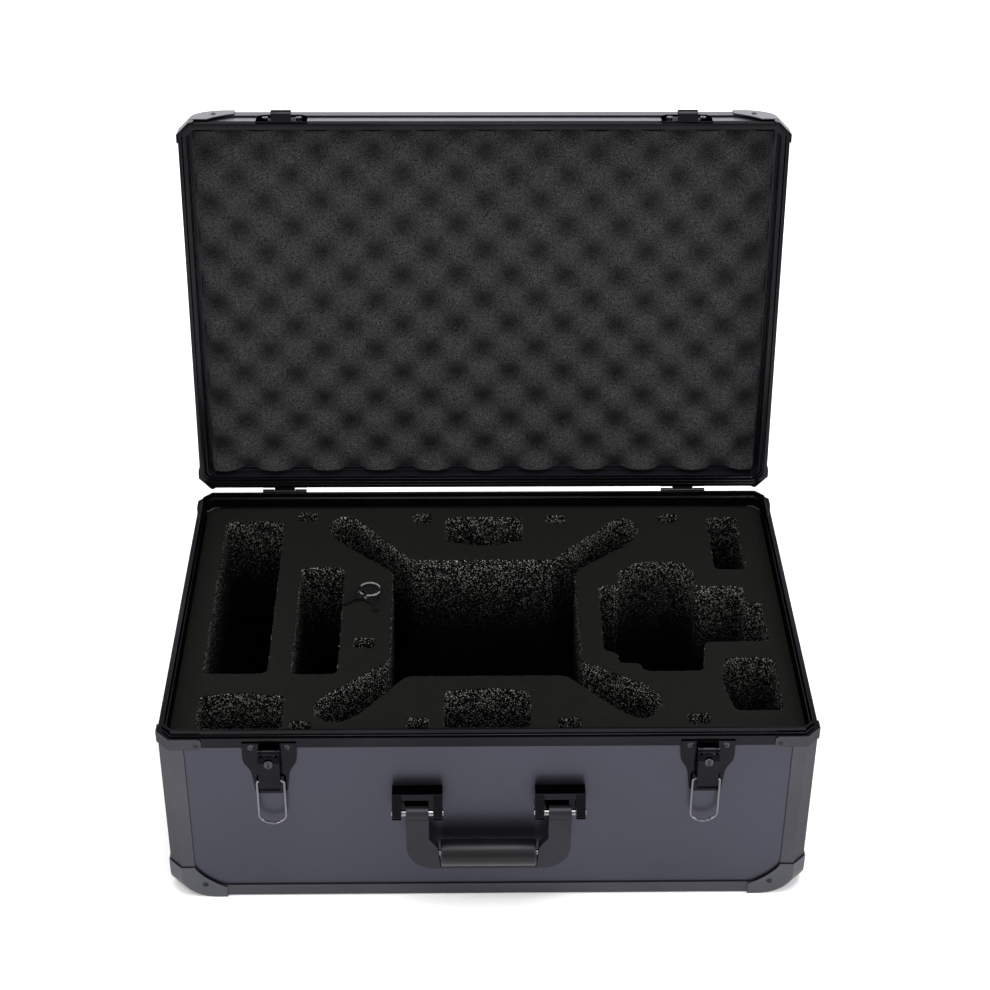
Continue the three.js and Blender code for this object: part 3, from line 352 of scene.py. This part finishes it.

# ---- Cut foam in the base ------------------------------------------------------------------
# A block of black closed-cell foam with its pockets cut right through to a plain pad. The top
# is smooth and fine-pored; the cut walls are torn and coarse, with pale spots painted for the
# glints of their broken cells, dimmed by painted shade down the pockets and on the walls that
# face the back.


def foam_finish(name, colour, grain, depth, contrast, hollow=0.0):
    """Smooth-cut foam. Noise at `grain` cells a metre raises the surface by `depth` mm and
    shades the colour by `contrast`; the piece's own "hollow" value takes away up to `hollow` of
    the colour, a painted shade in the pits."""
    material = bpy.data.materials.new(name)
    material.use_nodes = True
    nodes, links = material.node_tree.nodes, material.node_tree.links
    shader = nodes["Principled BSDF"]
    shader.inputs["Roughness"].default_value = 0.95
    shader.inputs["Specular IOR Level"].default_value = 0.1
    place = nodes.new("ShaderNodeTexCoord")
    grit = nodes.new("ShaderNodeTexNoise")
    grit.inputs["Scale"].default_value = grain
    grit.inputs["Detail"].default_value = 4
    grit.inputs["Roughness"].default_value = 0.7
    shade = nodes.new("ShaderNodeValToRGB")
    for stop, position, level in zip(shade.color_ramp.elements, (0.36, 0.66),
                                     (1 - contrast, 1 + 1.6 * contrast)):
        stop.position = position
        stop.color = (*(part * level for part in colour), 1)
    relief = nodes.new("ShaderNodeBump")
    relief.inputs["Distance"].default_value = depth * mm
    links.new(place.outputs["Object"], grit.inputs["Vector"])
    links.new(grit.outputs["Fac"], shade.inputs["Fac"])
    links.new(grit.outputs["Fac"], relief.inputs["Height"])
    links.new(relief.outputs["Normal"], shader.inputs["Normal"])
    if not hollow:
        links.new(shade.outputs["Color"], shader.inputs["Base Color"])
        return material
    # Painted shade in the pits: the colour is scaled from 1 down to 1 - hollow by the piece's "hollow" value.
    sunk = nodes.new("ShaderNodeAttribute")
    sunk.attribute_name = "hollow"
    keep = nodes.new("ShaderNodeMapRange")
    keep.inputs["To Min"].default_value = 1
    keep.inputs["To Max"].default_value = 1 - hollow
    painted_pit_shade = nodes.new("ShaderNodeVectorMath")
    painted_pit_shade.operation = "SCALE"
    links.new(sunk.outputs["Fac"], keep.inputs["Value"])
    links.new(shade.outputs["Color"], painted_pit_shade.inputs[0])
    links.new(keep.outputs["Result"], painted_pit_shade.inputs["Scale"])
    links.new(painted_pit_shade.outputs["Vector"], shader.inputs["Base Color"])
    return material


def torn_foam(name, colour, painted_glint, cells, depth, top, fade):
    """Torn foam: Voronoi cells at `cells` a metre. The middle of a cell shows `painted_glint`, a pale colour
    painted for the glints of the broken cells' glossy facets, by the cell's own random value, times
    ((z - top) / fade + 1)^2, painted shade for the light lost down a pocket, and by less the more
    a wall faces the back, down to 0.3: painted shade for light that comes from the front."""
    material = bpy.data.materials.new(name)
    material.use_nodes = True
    nodes, links = material.node_tree.nodes, material.node_tree.links
    shader = nodes["Principled BSDF"]
    shader.inputs["Roughness"].default_value = 0.9
    shader.inputs["Specular IOR Level"].default_value = 0.03
    place = nodes.new("ShaderNodeTexCoord")
    cell = nodes.new("ShaderNodeTexVoronoi")
    cell.inputs["Scale"].default_value = cells
    chance = nodes.new("ShaderNodeValToRGB")
    for stop, position, level in zip(chance.color_ramp.elements, (0.46, 0.85), (0.02, 1)):
        stop.position = position
        stop.color = (level, level, level, 1)
    spot = nodes.new("ShaderNodeMapRange")
    for socket, value in (("From Min", 0.62), ("From Max", 0.3)):
        spot.inputs[socket].default_value = value
    apart = nodes.new("ShaderNodeSeparateXYZ")
    lit = nodes.new("ShaderNodeMapRange")
    lit.inputs["From Min"].default_value = top - fade
    lit.inputs["From Max"].default_value = top
    squared, spotted, level, front_lit_glint = (nodes.new("ShaderNodeMath") for _ in range(4))
    for node in (squared, spotted, level, front_lit_glint):
        node.operation = "MULTIPLY"
    # Painted shade by facing: the glint spots keep full strength on walls that face the front and drop to 0.3 on
    # walls that face the back.
    facing = nodes.new("ShaderNodeNewGeometry")
    facing_parts = nodes.new("ShaderNodeSeparateXYZ")
    painted_front_light = nodes.new("ShaderNodeMapRange")
    for socket, value in (("From Min", 0.7), ("From Max", -0.7), ("To Min", 0.3)):
        painted_front_light.inputs[socket].default_value = value
    links.new(facing.outputs["True Normal"], facing_parts.inputs["Vector"])
    links.new(facing_parts.outputs["Y"], painted_front_light.inputs["Value"])
    blend = nodes.new("ShaderNodeMix")
    blend.data_type = "RGBA"
    blend.inputs["A"].default_value = (*colour, 1)
    blend.inputs["B"].default_value = (*painted_glint, 1)
    relief = nodes.new("ShaderNodeBump")
    relief.inputs["Distance"].default_value = depth * mm
    links.new(place.outputs["Object"], cell.inputs["Vector"])
    links.new(place.outputs["Object"], apart.inputs["Vector"])
    links.new(cell.outputs["Color"], chance.inputs["Fac"])
    links.new(cell.outputs["Distance"], spot.inputs["Value"])
    links.new(apart.outputs["Z"], lit.inputs["Value"])
    for node, first, second in ((squared, lit, lit), (spotted, spot, squared),
                                (front_lit_glint, painted_front_light, spotted), (level, chance, front_lit_glint)):
        links.new(first.outputs[0], node.inputs[0])
        links.new(second.outputs[0], node.inputs[1])
    links.new(level.outputs["Value"], blend.inputs["Factor"])
    links.new(blend.outputs["Result"], shader.inputs["Base Color"])
    links.new(spot.outputs["Result"], relief.inputs["Height"])
    links.new(relief.outputs["Normal"], shader.inputs["Normal"])
    return material


foam_low, foam_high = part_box("foam_insert")
foam_top = foam_finish("foam skin", (0.0038, 0.0036, 0.0032), 700, 0.12, 0.3)
# The pale spots of the cut walls are painted glints, faded by painted shade over 88 mm down the pockets.
foam_cut = torn_foam("foam cut", (0.0012, 0.0011, 0.001), (0.46, 0.45, 0.42), 900, 0.8,
                     foam_high.z, 88 * mm)
# The pad is black foam. Its near-black colour, a tenth of the top's, and its lack of any reflection are painted
# shade at the pockets' floors.
pad_black_and_shade = foam_finish("foam pad", (0.0004, 0.0004, 0.0004), 500, 0.3, 0.3)
pad_black_and_shade.node_tree.nodes["Principled BSDF"].inputs["Specular IOR Level"].default_value = 0


def outlines_of(node, height):
    """The closed loops round a node's flat top: the edges that belong to one triangle only, in
    order, with the foam on their left."""
    weld = 0.002  # mm between points that count as one
    mesh = frame["nodes"][node].data
    mesh.calc_loop_triangles()
    points = np.zeros(len(mesh.vertices) * 3)
    mesh.vertices.foreach_get("co", points)
    corners = np.zeros(len(mesh.loop_triangles) * 3, np.int32)
    mesh.loop_triangles.foreach_get("vertices", corners)
    triangles = points.reshape(-1, 3)[corners].reshape(-1, 3, 3)
    level = np.all(np.abs(triangles[..., 2] - height) < 0.05 * mm, axis=1)
    keys = np.round(triangles[level][..., :2] / (weld * mm)).astype(int)
    edges = {(tuple(t[i]), tuple(t[(i + 1) % 3])) for t in keys for i in range(3)}
    following = {a: b for a, b in edges if (b, a) not in edges}
    loops = []
    while following:
        start, here = following.popitem()
        loop = [start]
        while here != start:
            loop.append(here)
            here = following.pop(here)
        loops.append(np.array(loop) * weld * mm)
    return sorted(loops, key=lambda loop: (loop[:, 0].min(), loop[:, 1].min()))


def spaced(loop, step):
    """The outline with its points spaced evenly, about `step` apart."""
    closed = np.concatenate([loop, loop[:1]])
    run = np.concatenate([[0], np.cumsum(np.linalg.norm(np.diff(closed, axis=0), axis=1))])
    place = np.linspace(0, run[-1], max(24, round(run[-1] / step)), endpoint=False)
    return np.stack([np.interp(place, run, closed[:, i]) for i in (0, 1)], axis=-1)


def softened(loop, step):
    """The evenly spaced outline with its corners cut twice at quarter points."""
    loop = spaced(loop, step)
    for _ in range(2):
        after = np.roll(loop, -1, 0)
        loop = np.stack([0.75 * loop + 0.25 * after, 0.25 * loop + 0.75 * after], 1).reshape(-1, 2)
    return spaced(loop, step)


def inside(places, loops):
    """Which places lie in the foam: an odd number of outline edges crosses the ray to +X."""
    crossings = np.zeros(len(places), int)
    for loop in loops:
        a, b = loop, np.roll(loop, -1, 0)
        x, y = places[:, :1], places[:, 1:]
        spans = (a[:, 1] > y) != (b[:, 1] > y)
        slope = (b[:, 0] - a[:, 0]) / np.where(b[:, 1] == a[:, 1], 1, b[:, 1] - a[:, 1])
        crossings += (spans & (x < a[:, 0] + (y - a[:, 1]) * slope)).sum(axis=1)
    return crossings % 2 == 1


edge_round = 1.1 * mm
wall_step = 1.7 * mm
torn = np.random.default_rng(7)
round_rows = 4
round_angle = np.linspace(0, np.pi / 2, round_rows)
drops = np.cumsum(np.concatenate([np.full(16, wall_step), np.linspace(2, 6.4, 18) * mm]))
wall_depth = foam_high.z - foam_low.z - edge_round
drops = edge_round + drops / drops[-1] * wall_depth
set_back = np.concatenate([-edge_round * (1 - np.sin(round_angle)), np.zeros(len(drops))])
fall = np.concatenate([edge_round * (1 - np.cos(round_angle)), drops])
roughness_share = np.concatenate(
    [np.linspace(0.5, 1.1, round_rows), np.ones(len(drops) - 1), [0.0]])

loops = [softened(loop, wall_step) for loop in outlines_of("foam_insert", foam_high.z)]
wall_points, wall_faces, top_rings, ring_starts, count = [], [], [], [], 0
for loop in loops:
    along = np.roll(loop, -1, 0) - np.roll(loop, 1, 0)
    along /= np.linalg.norm(along, axis=1, keepdims=True)
    void = np.stack([along[:, 1], -along[:, 0]], axis=-1)
    tear = torn.normal(0, 0.5 * mm, (len(fall), len(loop)))
    tear = 0.6 * tear + 0.2 * (np.roll(tear, 1, 1) + np.roll(tear, 1, 0))
    offset = set_back[:, None] + np.clip(tear, -0.9 * mm, 0.9 * mm) * roughness_share[:, None]
    if loop is loops[0]:
        offset = np.broadcast_to(set_back[:, None] * 0.4, tear.shape)
    flat = loop[None] + offset[..., None] * void[None]
    height = np.broadcast_to((foam_high.z - fall)[:, None, None], (*flat.shape[:2], 1))
    wall_points.append(np.concatenate([flat, height], axis=-1).reshape(-1, 3))
    wall_faces.append(grid_faces(len(fall), len(loop), False, True) + count)
    top_rings.append(flat[0])
    ring_starts.append(count)
    count += len(fall) * len(loop)
rows_below = len(fall) - 1

# Points of the flat top between the outlines, kept clear of every edge.
spacing = 7 * mm
across = np.arange(foam_low.x + spacing, foam_high.x - spacing / 2, spacing)
back = np.arange(foam_low.y + spacing, foam_high.y - spacing / 2, spacing)
field = np.stack(np.meshgrid(across, back), axis=-1).reshape(-1, 2)
field = field[inside(field, top_rings)]
edge_places = np.concatenate(top_rings)
nearest = np.min(np.linalg.norm(field[:, None] - edge_places[None, ::2], axis=-1), axis=1)
field = field[nearest > 0.6 * spacing]
flat_points = np.concatenate([edge_places, field])
ring_ends = np.cumsum([len(ring) for ring in top_rings])
outline_edges = [
    (end - len(ring) + i, end - len(ring) + (i + 1) % len(ring))
    for ring, end in zip(top_rings, ring_ends) for i in range(len(ring))
]
filled = delaunay_2d_cdt([Vector(p) for p in flat_points.tolist()], outline_edges, [], 0, 1e-7)
own = np.array([origins[0] for origins in filled[3]])
triangles = own[np.array(filled[2])]

# The foam lies on the left of its outlines: a triangle with an outline edge is kept if it has
# the edge that way round, and any other by where its middle lies.
following = np.full(len(flat_points), -1)
following[[a for a, b in outline_edges]] = [b for a, b in outline_edges]
turned_on = np.roll(triangles, -1, axis=1)
on_left = (following[triangles] == turned_on).any(axis=1)
on_right = (following[turned_on] == triangles).any(axis=1)
within = inside(flat_points[triangles].mean(axis=1), top_rings)
triangles = triangles[on_left | (within & ~on_right)]

top_index = np.concatenate(
    [start + np.arange(len(ring)) for start, ring in zip(ring_starts, top_rings)]
    + [count + np.arange(len(field))]
)
low_index = np.concatenate(
    [start + rows_below * len(ring) + np.arange(len(ring))
     for start, ring in zip(ring_starts, top_rings)]
    + [count + len(field) + np.arange(len(field))]
)
sway = 0.12 * mm * np.sin(field[:, 0] * 61) * np.cos(field[:, 1] * 47)
field_top = np.column_stack([field, foam_high.z - 0.12 * mm + sway])
field_low = np.column_stack([field, np.full(len(field), foam_low.z)])
foam_faces = (np.concatenate(wall_faces).tolist() + top_index[triangles].tolist()
              + low_index[triangles[:, ::-1]].tolist())
wall_count = sum(len(faces) for faces in wall_faces)
face_kinds = np.ones(len(foam_faces), np.int32)
face_kinds[wall_count:] = 0
skin_rows = 2
for faces, ring in zip([0] + np.cumsum([len(f) for f in wall_faces]).tolist(), top_rings):
    face_kinds[faces:faces + skin_rows * len(ring)] = 0
cut_foam = make_piece(
    "cut_foam", np.concatenate([*wall_points, field_top, field_low]), foam_faces,
    [foam_top, foam_cut], "base", ["foam_insert"], 80, face_kinds)


def foam_slab(name, half_x, half_y, leg, surface, flat_z, step, material, body,
              stands_for, lid=False, hollow=None):
    """A closed block of foam on a cut-cornered plan: a grid of u, v in -1..1 with
    x = u half_x and y = v (half_y - max(0, |x| - half_x + leg)); one side is the height field
    surface(x, y) and the other is flat. hollow(x, y) is kept with the points for the finish's
    painted shade in the pits."""
    columns, rows = round(2 * half_x / step), round(2 * half_y / step)
    u, v = np.meshgrid(np.linspace(-1, 1, columns), np.linspace(-1, 1, rows))
    x = u * half_x
    y = v * (half_y - np.maximum(0, np.abs(x) - half_x + leg))
    shaped = np.stack([x, y, surface(x, y)], axis=-1).reshape(-1, 3)
    flat = np.stack([x, y, np.full_like(x, flat_z)], axis=-1).reshape(-1, 3)
    quads = grid_faces(rows, columns)
    total = rows * columns
    number = np.arange(total).reshape(rows, columns)
    rim = np.concatenate([number[0, :-1], number[:-1, -1], number[-1, :0:-1], number[:0:-1, 0]])
    after = np.roll(rim, -1)
    sides = np.stack([rim, rim + total, after + total, after], axis=-1)
    points = np.concatenate([shaped, flat])
    faces = np.concatenate([quads, quads[:, ::-1] + total, sides])
    points = swung_open(points) if lid else points
    piece = make_piece(name, points, faces.tolist(), [material], body, stands_for,
                       70)
    if hollow:
        kept = piece.data.attributes.new("hollow", "FLOAT", "POINT")
        kept.data.foreach_set("value", np.tile(hollow(x, y).ravel(), 2))


pad_low, pad_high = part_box("foam_base_pad")
foam_leg = corner_cut - 4 * mm


def pad_top(x, y):
    """A nearly flat top, dipping by up to 0.5 mm in slow waves."""
    return pad_high.z - 0.25 * mm * (1 + np.sin(x * 83 + 1) * np.cos(y * 71))


foam_slab("foam_pad", pad_high.x, pad_high.y, foam_leg, pad_top, pad_low.z, 5 * mm, pad_black_and_shade,
          "base", ["foam_base_pad"])

# ---- Egg-crate foam in the lid ---------------------------------------------------------------
# One convoluted sheet glued to the lid panel: rounded peaks and pits in a staggered pattern,
# cut straight at its edges so that the waves show there too.

# The lid foam's pits get painted shade: up to 0.28 of their colour is taken away.
lid_foam_grey = foam_finish("lid foam", (0.0172, 0.0172, 0.0177), 900, 0.7, 0.98, hollow=0.28)
wave_x, wave_y = 46 * mm, 45 * mm
peak_height, pit_height = 12.9 * mm, 24.5 * mm  # above the rim plane, with the lid shut
lid_foam_half_x = half_width - 10.2 * mm
lid_foam_half_y = half_depth - 10.2 * mm
unevenness = np.random.default_rng(3).uniform(0, 2 * np.pi, 4)


def hollowness(x, y):
    """How far towards a pit each place lies, 0..1: ((1 + cos(2 pi x / wave_x) cos(2 pi y /
    wave_y)) / 2)^1.7, with slow drifts in place. It shapes the pits and sets the painted shade
    in them."""
    a, b = unevenness[:2]
    turn_x = 2 * np.pi * (x + 1.2 * mm * np.sin(19 * y + 7 * x + a)) / wave_x
    turn_y = 2 * np.pi * (y + 1.2 * mm * np.sin(17 * x - 9 * y + b)) / wave_y
    return ((1 + np.cos(turn_x) * np.cos(turn_y)) / 2) ** 1.7


def egg_crate(x, y):
    """Height of the sheet's face: from peak to pit by the hollowness, with slow drifts."""
    c, d = unevenness[2:]
    drift = 0.6 * mm * np.sin(31 * x + c) * np.sin(27 * y + d)
    wave = (pit_height - peak_height) * hollowness(x, y)
    return rim_plane + peak_height + 0.7 * mm + wave + drift


lid_foam_back = rim_plane + 27.9 * mm
foam_slab("egg_crate_sheet", lid_foam_half_x, lid_foam_half_y, 2 * mm, egg_crate, lid_foam_back,
          1.8 * mm, lid_foam_grey, "lid", ["lid_foam"], lid=True,
          hollow=hollowness)

# ---- Keys --------------------------------------------------------------------------------
# Two small stamped keys on a wire ring, nickel plated, lying on the foam.

key_steel = finish_of("key steel", (0.3, 0.3, 0.3), 1, 0.12, grain=1200, depth=0.05)
eased("keys", 0.25, key_steel)

# ---- Handle --------------------------------------------------------------------------------
# A cast bow with flat arms hangs from two chromed brackets, with a plastic grip on a steel
# rod between the arms.

black_chrome = finish_of("black chrome", (0.013, 0.013, 0.015), 1, 0.09, grain=600, depth=0.01,
                         edge=0.25)
pin_steel = finish_of("pin steel", (0.2, 0.2, 0.205), 1, 0.14, grain=2500, depth=0.01)
dark_steel = finish_of("dark steel", (0.05, 0.05, 0.054), 1, 0.1, grain=2500, depth=0.01)
cast_black = finish_of("cast black", (0.021, 0.0213, 0.026), 0.75, 0.4, grain=1800, depth=0.03,
                       edge=0.5)
grip_black = finish_of("grip black", (0.003, 0.003, 0.004), 0, 0.36, grain=2200, depth=0.03,
                       edge=0.45)


def turned(name, profile, axis_y, axis_z, material, body, stands_for, sides=48):
    """A turned piece about a line along X: the profile (x, radius) in mm goes round in
    `sides` steps, and starts and ends on the line."""
    x, radius = np.array(profile, float).T * mm
    turn = np.linspace(0, 2 * np.pi, sides, endpoint=False)[None, :]
    points = np.stack([x[:, None] + 0 * turn, axis_y + radius[:, None] * np.cos(turn),
                       axis_z + radius[:, None] * np.sin(turn)], axis=-1)
    faces = grid_faces(len(x), sides, False, True)
    make_piece(name, points, faces.tolist(), [material], body, stands_for)


def domed_rod(half_length, radius, middle=0.0, dome=0.6):
    """Profile of a plain rod with rounded ends."""
    t = np.linspace(0, np.pi / 2, 6)
    end_x, end_r = half_length - dome + dome * np.sin(t), radius - dome + dome * np.cos(t)
    x = np.concatenate([[half_length], end_x[::-1], -end_x, [-half_length]])
    r = np.concatenate([[0], end_r[::-1], end_r, [0]])
    return np.column_stack([x + middle, r])


def domed_pin(node, pin_low, pin_high, radius, dome, material, sides):
    """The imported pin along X, between the corners of its box, with rounded ends."""
    middle = (pin_low + pin_high) / 2
    profile = domed_rod((pin_high.x - pin_low.x) / 2 / mm, radius, middle.x / mm, dome)
    turned(f"{node}_domed", profile, middle.y, middle.z, material, "base", [node],
           sides)


for side in ("left", "right"):
    eased(f"handle_bracket_{side}", 0.55, black_chrome)
    pin_low, pin_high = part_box(f"handle_pin_{side}")
    domed_pin(f"handle_pin_{side}", pin_low, pin_high, 2.5, 0.6, pin_steel, 24)
eased("handle_bow", 0.9, cast_black)
grip_low, grip_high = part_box("handle_grip")
grip_middle = (grip_low + grip_high) / 2
grip_half, grip_radius = (grip_high.x - grip_low.x) / 2 / mm, (grip_high.z - grip_low.z) / 2 / mm
turned("grip_moulding", domed_rod(grip_half, grip_radius, 0, 1.6), grip_middle.y, grip_middle.z,
       grip_black, "handle", ["handle_grip"], 64)
rod_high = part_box("handle_rod")[1]
turned("grip_rod", domed_rod(rod_high.x / mm, 2.4), grip_middle.y, grip_middle.z, pin_steel,
       "handle", ["handle_rod"], 24)

# ---- Latches -------------------------------------------------------------------------------
# Black chromed draw latches: a riveted plate, a lever with a lock barrel in its face, and a
# wire bail that pulls on the hook of the catch on the lid.


def bezier(a, b, c, d, steps):
    """Cubic curve between a and d, without its last point."""
    t = np.linspace(0, 1, steps, endpoint=False)[:, None]
    a, b, c, d = (np.array(p, float) for p in (a, b, c, d))
    return (1 - t) ** 3 * a + 3 * t * (1 - t) ** 2 * b + 3 * t**2 * (1 - t) * c + t**3 * d


def bail_line(half_leg, inner, length):
    """Centre line of one bail in mm about its pivot, as x and drop: a turned-in end, a corner,
    a straight leg and a pointed round end, then the same mirrored."""
    bend = 2.4
    half = np.concatenate([
        np.array([[-inner, 0.0]]),
        bezier((-half_leg + bend, 0), (-half_leg + 1, 0), (-half_leg, -1), (-half_leg, -bend), 7),
        bezier((-half_leg, -bend), (-half_leg, -12), (-half_leg, -24), (-half_leg, 9 - length), 6),
        bezier((-half_leg, 9 - length), (-half_leg, 3.4 - length), (-half_leg * 0.42, 0.4 - length),
               (0, -length), 14),
    ])
    mirrored = half[::-1] * [-1, 1]
    return np.concatenate([half, [[0, -length]], mirrored])


def wire(name, line, radius, x, y, z, material, body, stands_for):
    """Round wire along a line in the X-Z plane: at each point a ring of points spans the
    line's own normal and Y; the ends are closed."""
    along = np.gradient(line, axis=0)
    along /= np.linalg.norm(along, axis=1, keepdims=True)
    normal = np.stack([-along[:, 1], along[:, 0]], axis=-1)
    sides = 10
    turn = np.linspace(0, 2 * np.pi, sides, endpoint=False)
    flat = line[:, None] + radius * np.cos(turn)[None, :, None] * normal[:, None]
    rings = np.stack([flat[..., 0] * mm + x,
                      y + radius * mm * np.broadcast_to(np.sin(turn), flat.shape[:2]),
                      flat[..., 1] * mm + z], axis=-1)
    faces = grid_faces(len(line), sides, False, True).tolist()
    total = len(line) * sides
    faces += [list(range(sides)), list(range(total - sides, total))]
    make_piece(name, rings, faces, [material], body, stands_for, 60)


bail_steel = finish_of("bail steel", (0.14, 0.14, 0.15), 1, 0.16, grain=2500, depth=0.01)
bail_half_leg, bail_end, bail_length = 10.35, 7.2, 42.85  # mm, along the wire's centre line
joint_place = {joint["name"]: Vector(joint["pos_m"]) for joint in frame["joints"]}
plate_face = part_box("latch_plate_left")[1].y - 1.2 * mm
for side in ("left", "right"):
    eased(f"latch_plate_{side}", 0.25, black_chrome)
    eased(f"latch_lever_{side}", 0.4, black_chrome)
    pivot = joint_place[f"bail_{side}_pivot"]
    wire(f"bail_wire_{side}", bail_line(bail_half_leg, bail_end, bail_length), 1.0, pivot.x,
         pivot.y, pivot.z, bail_steel, f"bail_{side}", [f"latch_bail_{side}"])
    lock_low, lock_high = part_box(f"latch_lock_{side}")
    lock_centre = ((lock_low.x + lock_high.x) / 2, lock_low.y + 0.6 * mm,
                   (lock_low.z + lock_high.z) / 2)
    screw_heads(f"lock_barrel_{side}", [lock_centre], (0, -1, 0), 3.6 * mm, dark_steel,
                f"lock_{side}", "slot", 0.3, [f"latch_lock_{side}"])
    screws = [(pivot.x + step * mm, plate_face, rim_plane - 7.5 * mm) for step in (-13.5, 13.5)]
    screw_heads(f"latch_plate_screws_{side}", screws, (0, -1, 0), 2.6 * mm, dark_steel, "base")

# ---- Catches -------------------------------------------------------------------------------
# Chromed plates with the hooks for the bails, screwed to the lid's front wall.

for side in ("left", "right"):
    eased(f"catch_{side}", 0.35, black_chrome)
    x = joint_place[f"bail_{side}_pivot"].x
    screws = [(x + step * mm, -half_depth - 1.5 * mm, rim_plane + 13 * mm)
              for step in (-13.65, 13.65)]
    screw_heads(f"catch_screws_{side}", screws, (0, -1, 0), 2.4 * mm, dark_steel, "lid", lid=True)

# ---- Hinges --------------------------------------------------------------------------------
# Two pressed leaf hinges with rolled knuckles on the back, each leaf held by three screws.

for side in ("left", "right"):
    for leaf in ("hinge_base_leaf", "hinge_lid_leaf"):
        eased(f"{leaf}_{side}", 0.25, black_chrome)
    pin_low, pin_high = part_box(f"hinge_pin_{side}")
    domed_pin(f"hinge_pin_{side}", pin_low, pin_high, 1.2, 0.3, dark_steel, 16)
    middle = (pin_low + pin_high) / 2
    for body, height in (("base", -12 * mm), ("lid", 12 * mm)):
        screws = [(middle.x + step * mm, half_depth + 1.5 * mm, rim_plane + height)
                  for step in (-13, 0, 13)]
        screw_heads(f"hinge_screws_{body}_{side}", screws, (0, 1, 0), 2.2 * mm, dark_steel, body,
                    lid=body == "lid")

# ---- Floor and light -------------------------------------------------------------------------
# A pale floor that runs out of sight, an even white surround, a broad light overhead, a bright
# wall of light behind, one at each side, and three small hard ones for the chrome.

floor_mesh = bpy.data.meshes.new("floor")
reach = 9.0
corners = [(-reach, -reach), (reach, -reach), (reach, reach), (-reach, reach)]
floor_mesh.from_pydata([(x, y, case_floor) for x, y in corners], [], [(0, 1, 2, 3)])
floor_paint = bpy.data.materials.new("floor paint")
floor_paint.use_nodes = True
floor_shader = floor_paint.node_tree.nodes["Principled BSDF"]
floor_shader.inputs["Base Color"].default_value = (0.9, 0.9, 0.9, 1)
floor_shader.inputs["Roughness"].default_value = 0.9
floor_mesh.materials.append(floor_paint)
floor = bpy.data.objects.new("floor", floor_mesh)
scene.collection.objects.link(floor)

world = bpy.data.worlds.new("surround")
world.use_nodes = True
background = world.node_tree.nodes["Background"]
background.inputs["Color"].default_value = (1, 1, 1, 1)
background.inputs["Strength"].default_value = 0.75
scene.world = world
scene.view_settings.view_transform = "Standard"


def soft_light(name, place, target, width, height, power):
    """A rectangular light of `power` watts at `place`, turned to face `target`."""
    data = bpy.data.lights.new(name, "AREA")
    data.shape = "RECTANGLE"
    data.size, data.size_y = width, height
    data.energy = power
    light = bpy.data.objects.new(name, data)
    scene.collection.objects.link(light)
    direction = Vector(target) - Vector(place)
    light.location = place
    light.rotation_mode = "QUATERNION"
    light.rotation_quaternion = direction.to_track_quat("-Z", "Y")


soft_light("overhead", (0.3, -0.3, 2.6), (0, 0, 0.1), 1.6, 1.2, 42)
soft_light("back wall", (0, 3.0, 1.3), (0, 0, 0.3), 5.0, 2.2, 110)
soft_light("right side", (2.3, -0.7, 0.8), (0, 0, 0.1), 1.2, 1.2, 34)
soft_light("left side", (-2.3, -0.7, 0.8), (0, 0, 0.1), 1.2, 1.2, 20)
for number, place in enumerate([(-0.8, -0.9, 2.2), (1.1, -1.5, 1.7), (-1.3, -1.4, 1.0)]):
    soft_light(f"spark {number}", place, (0, 0, 0.1), 0.25, 0.25, 8)
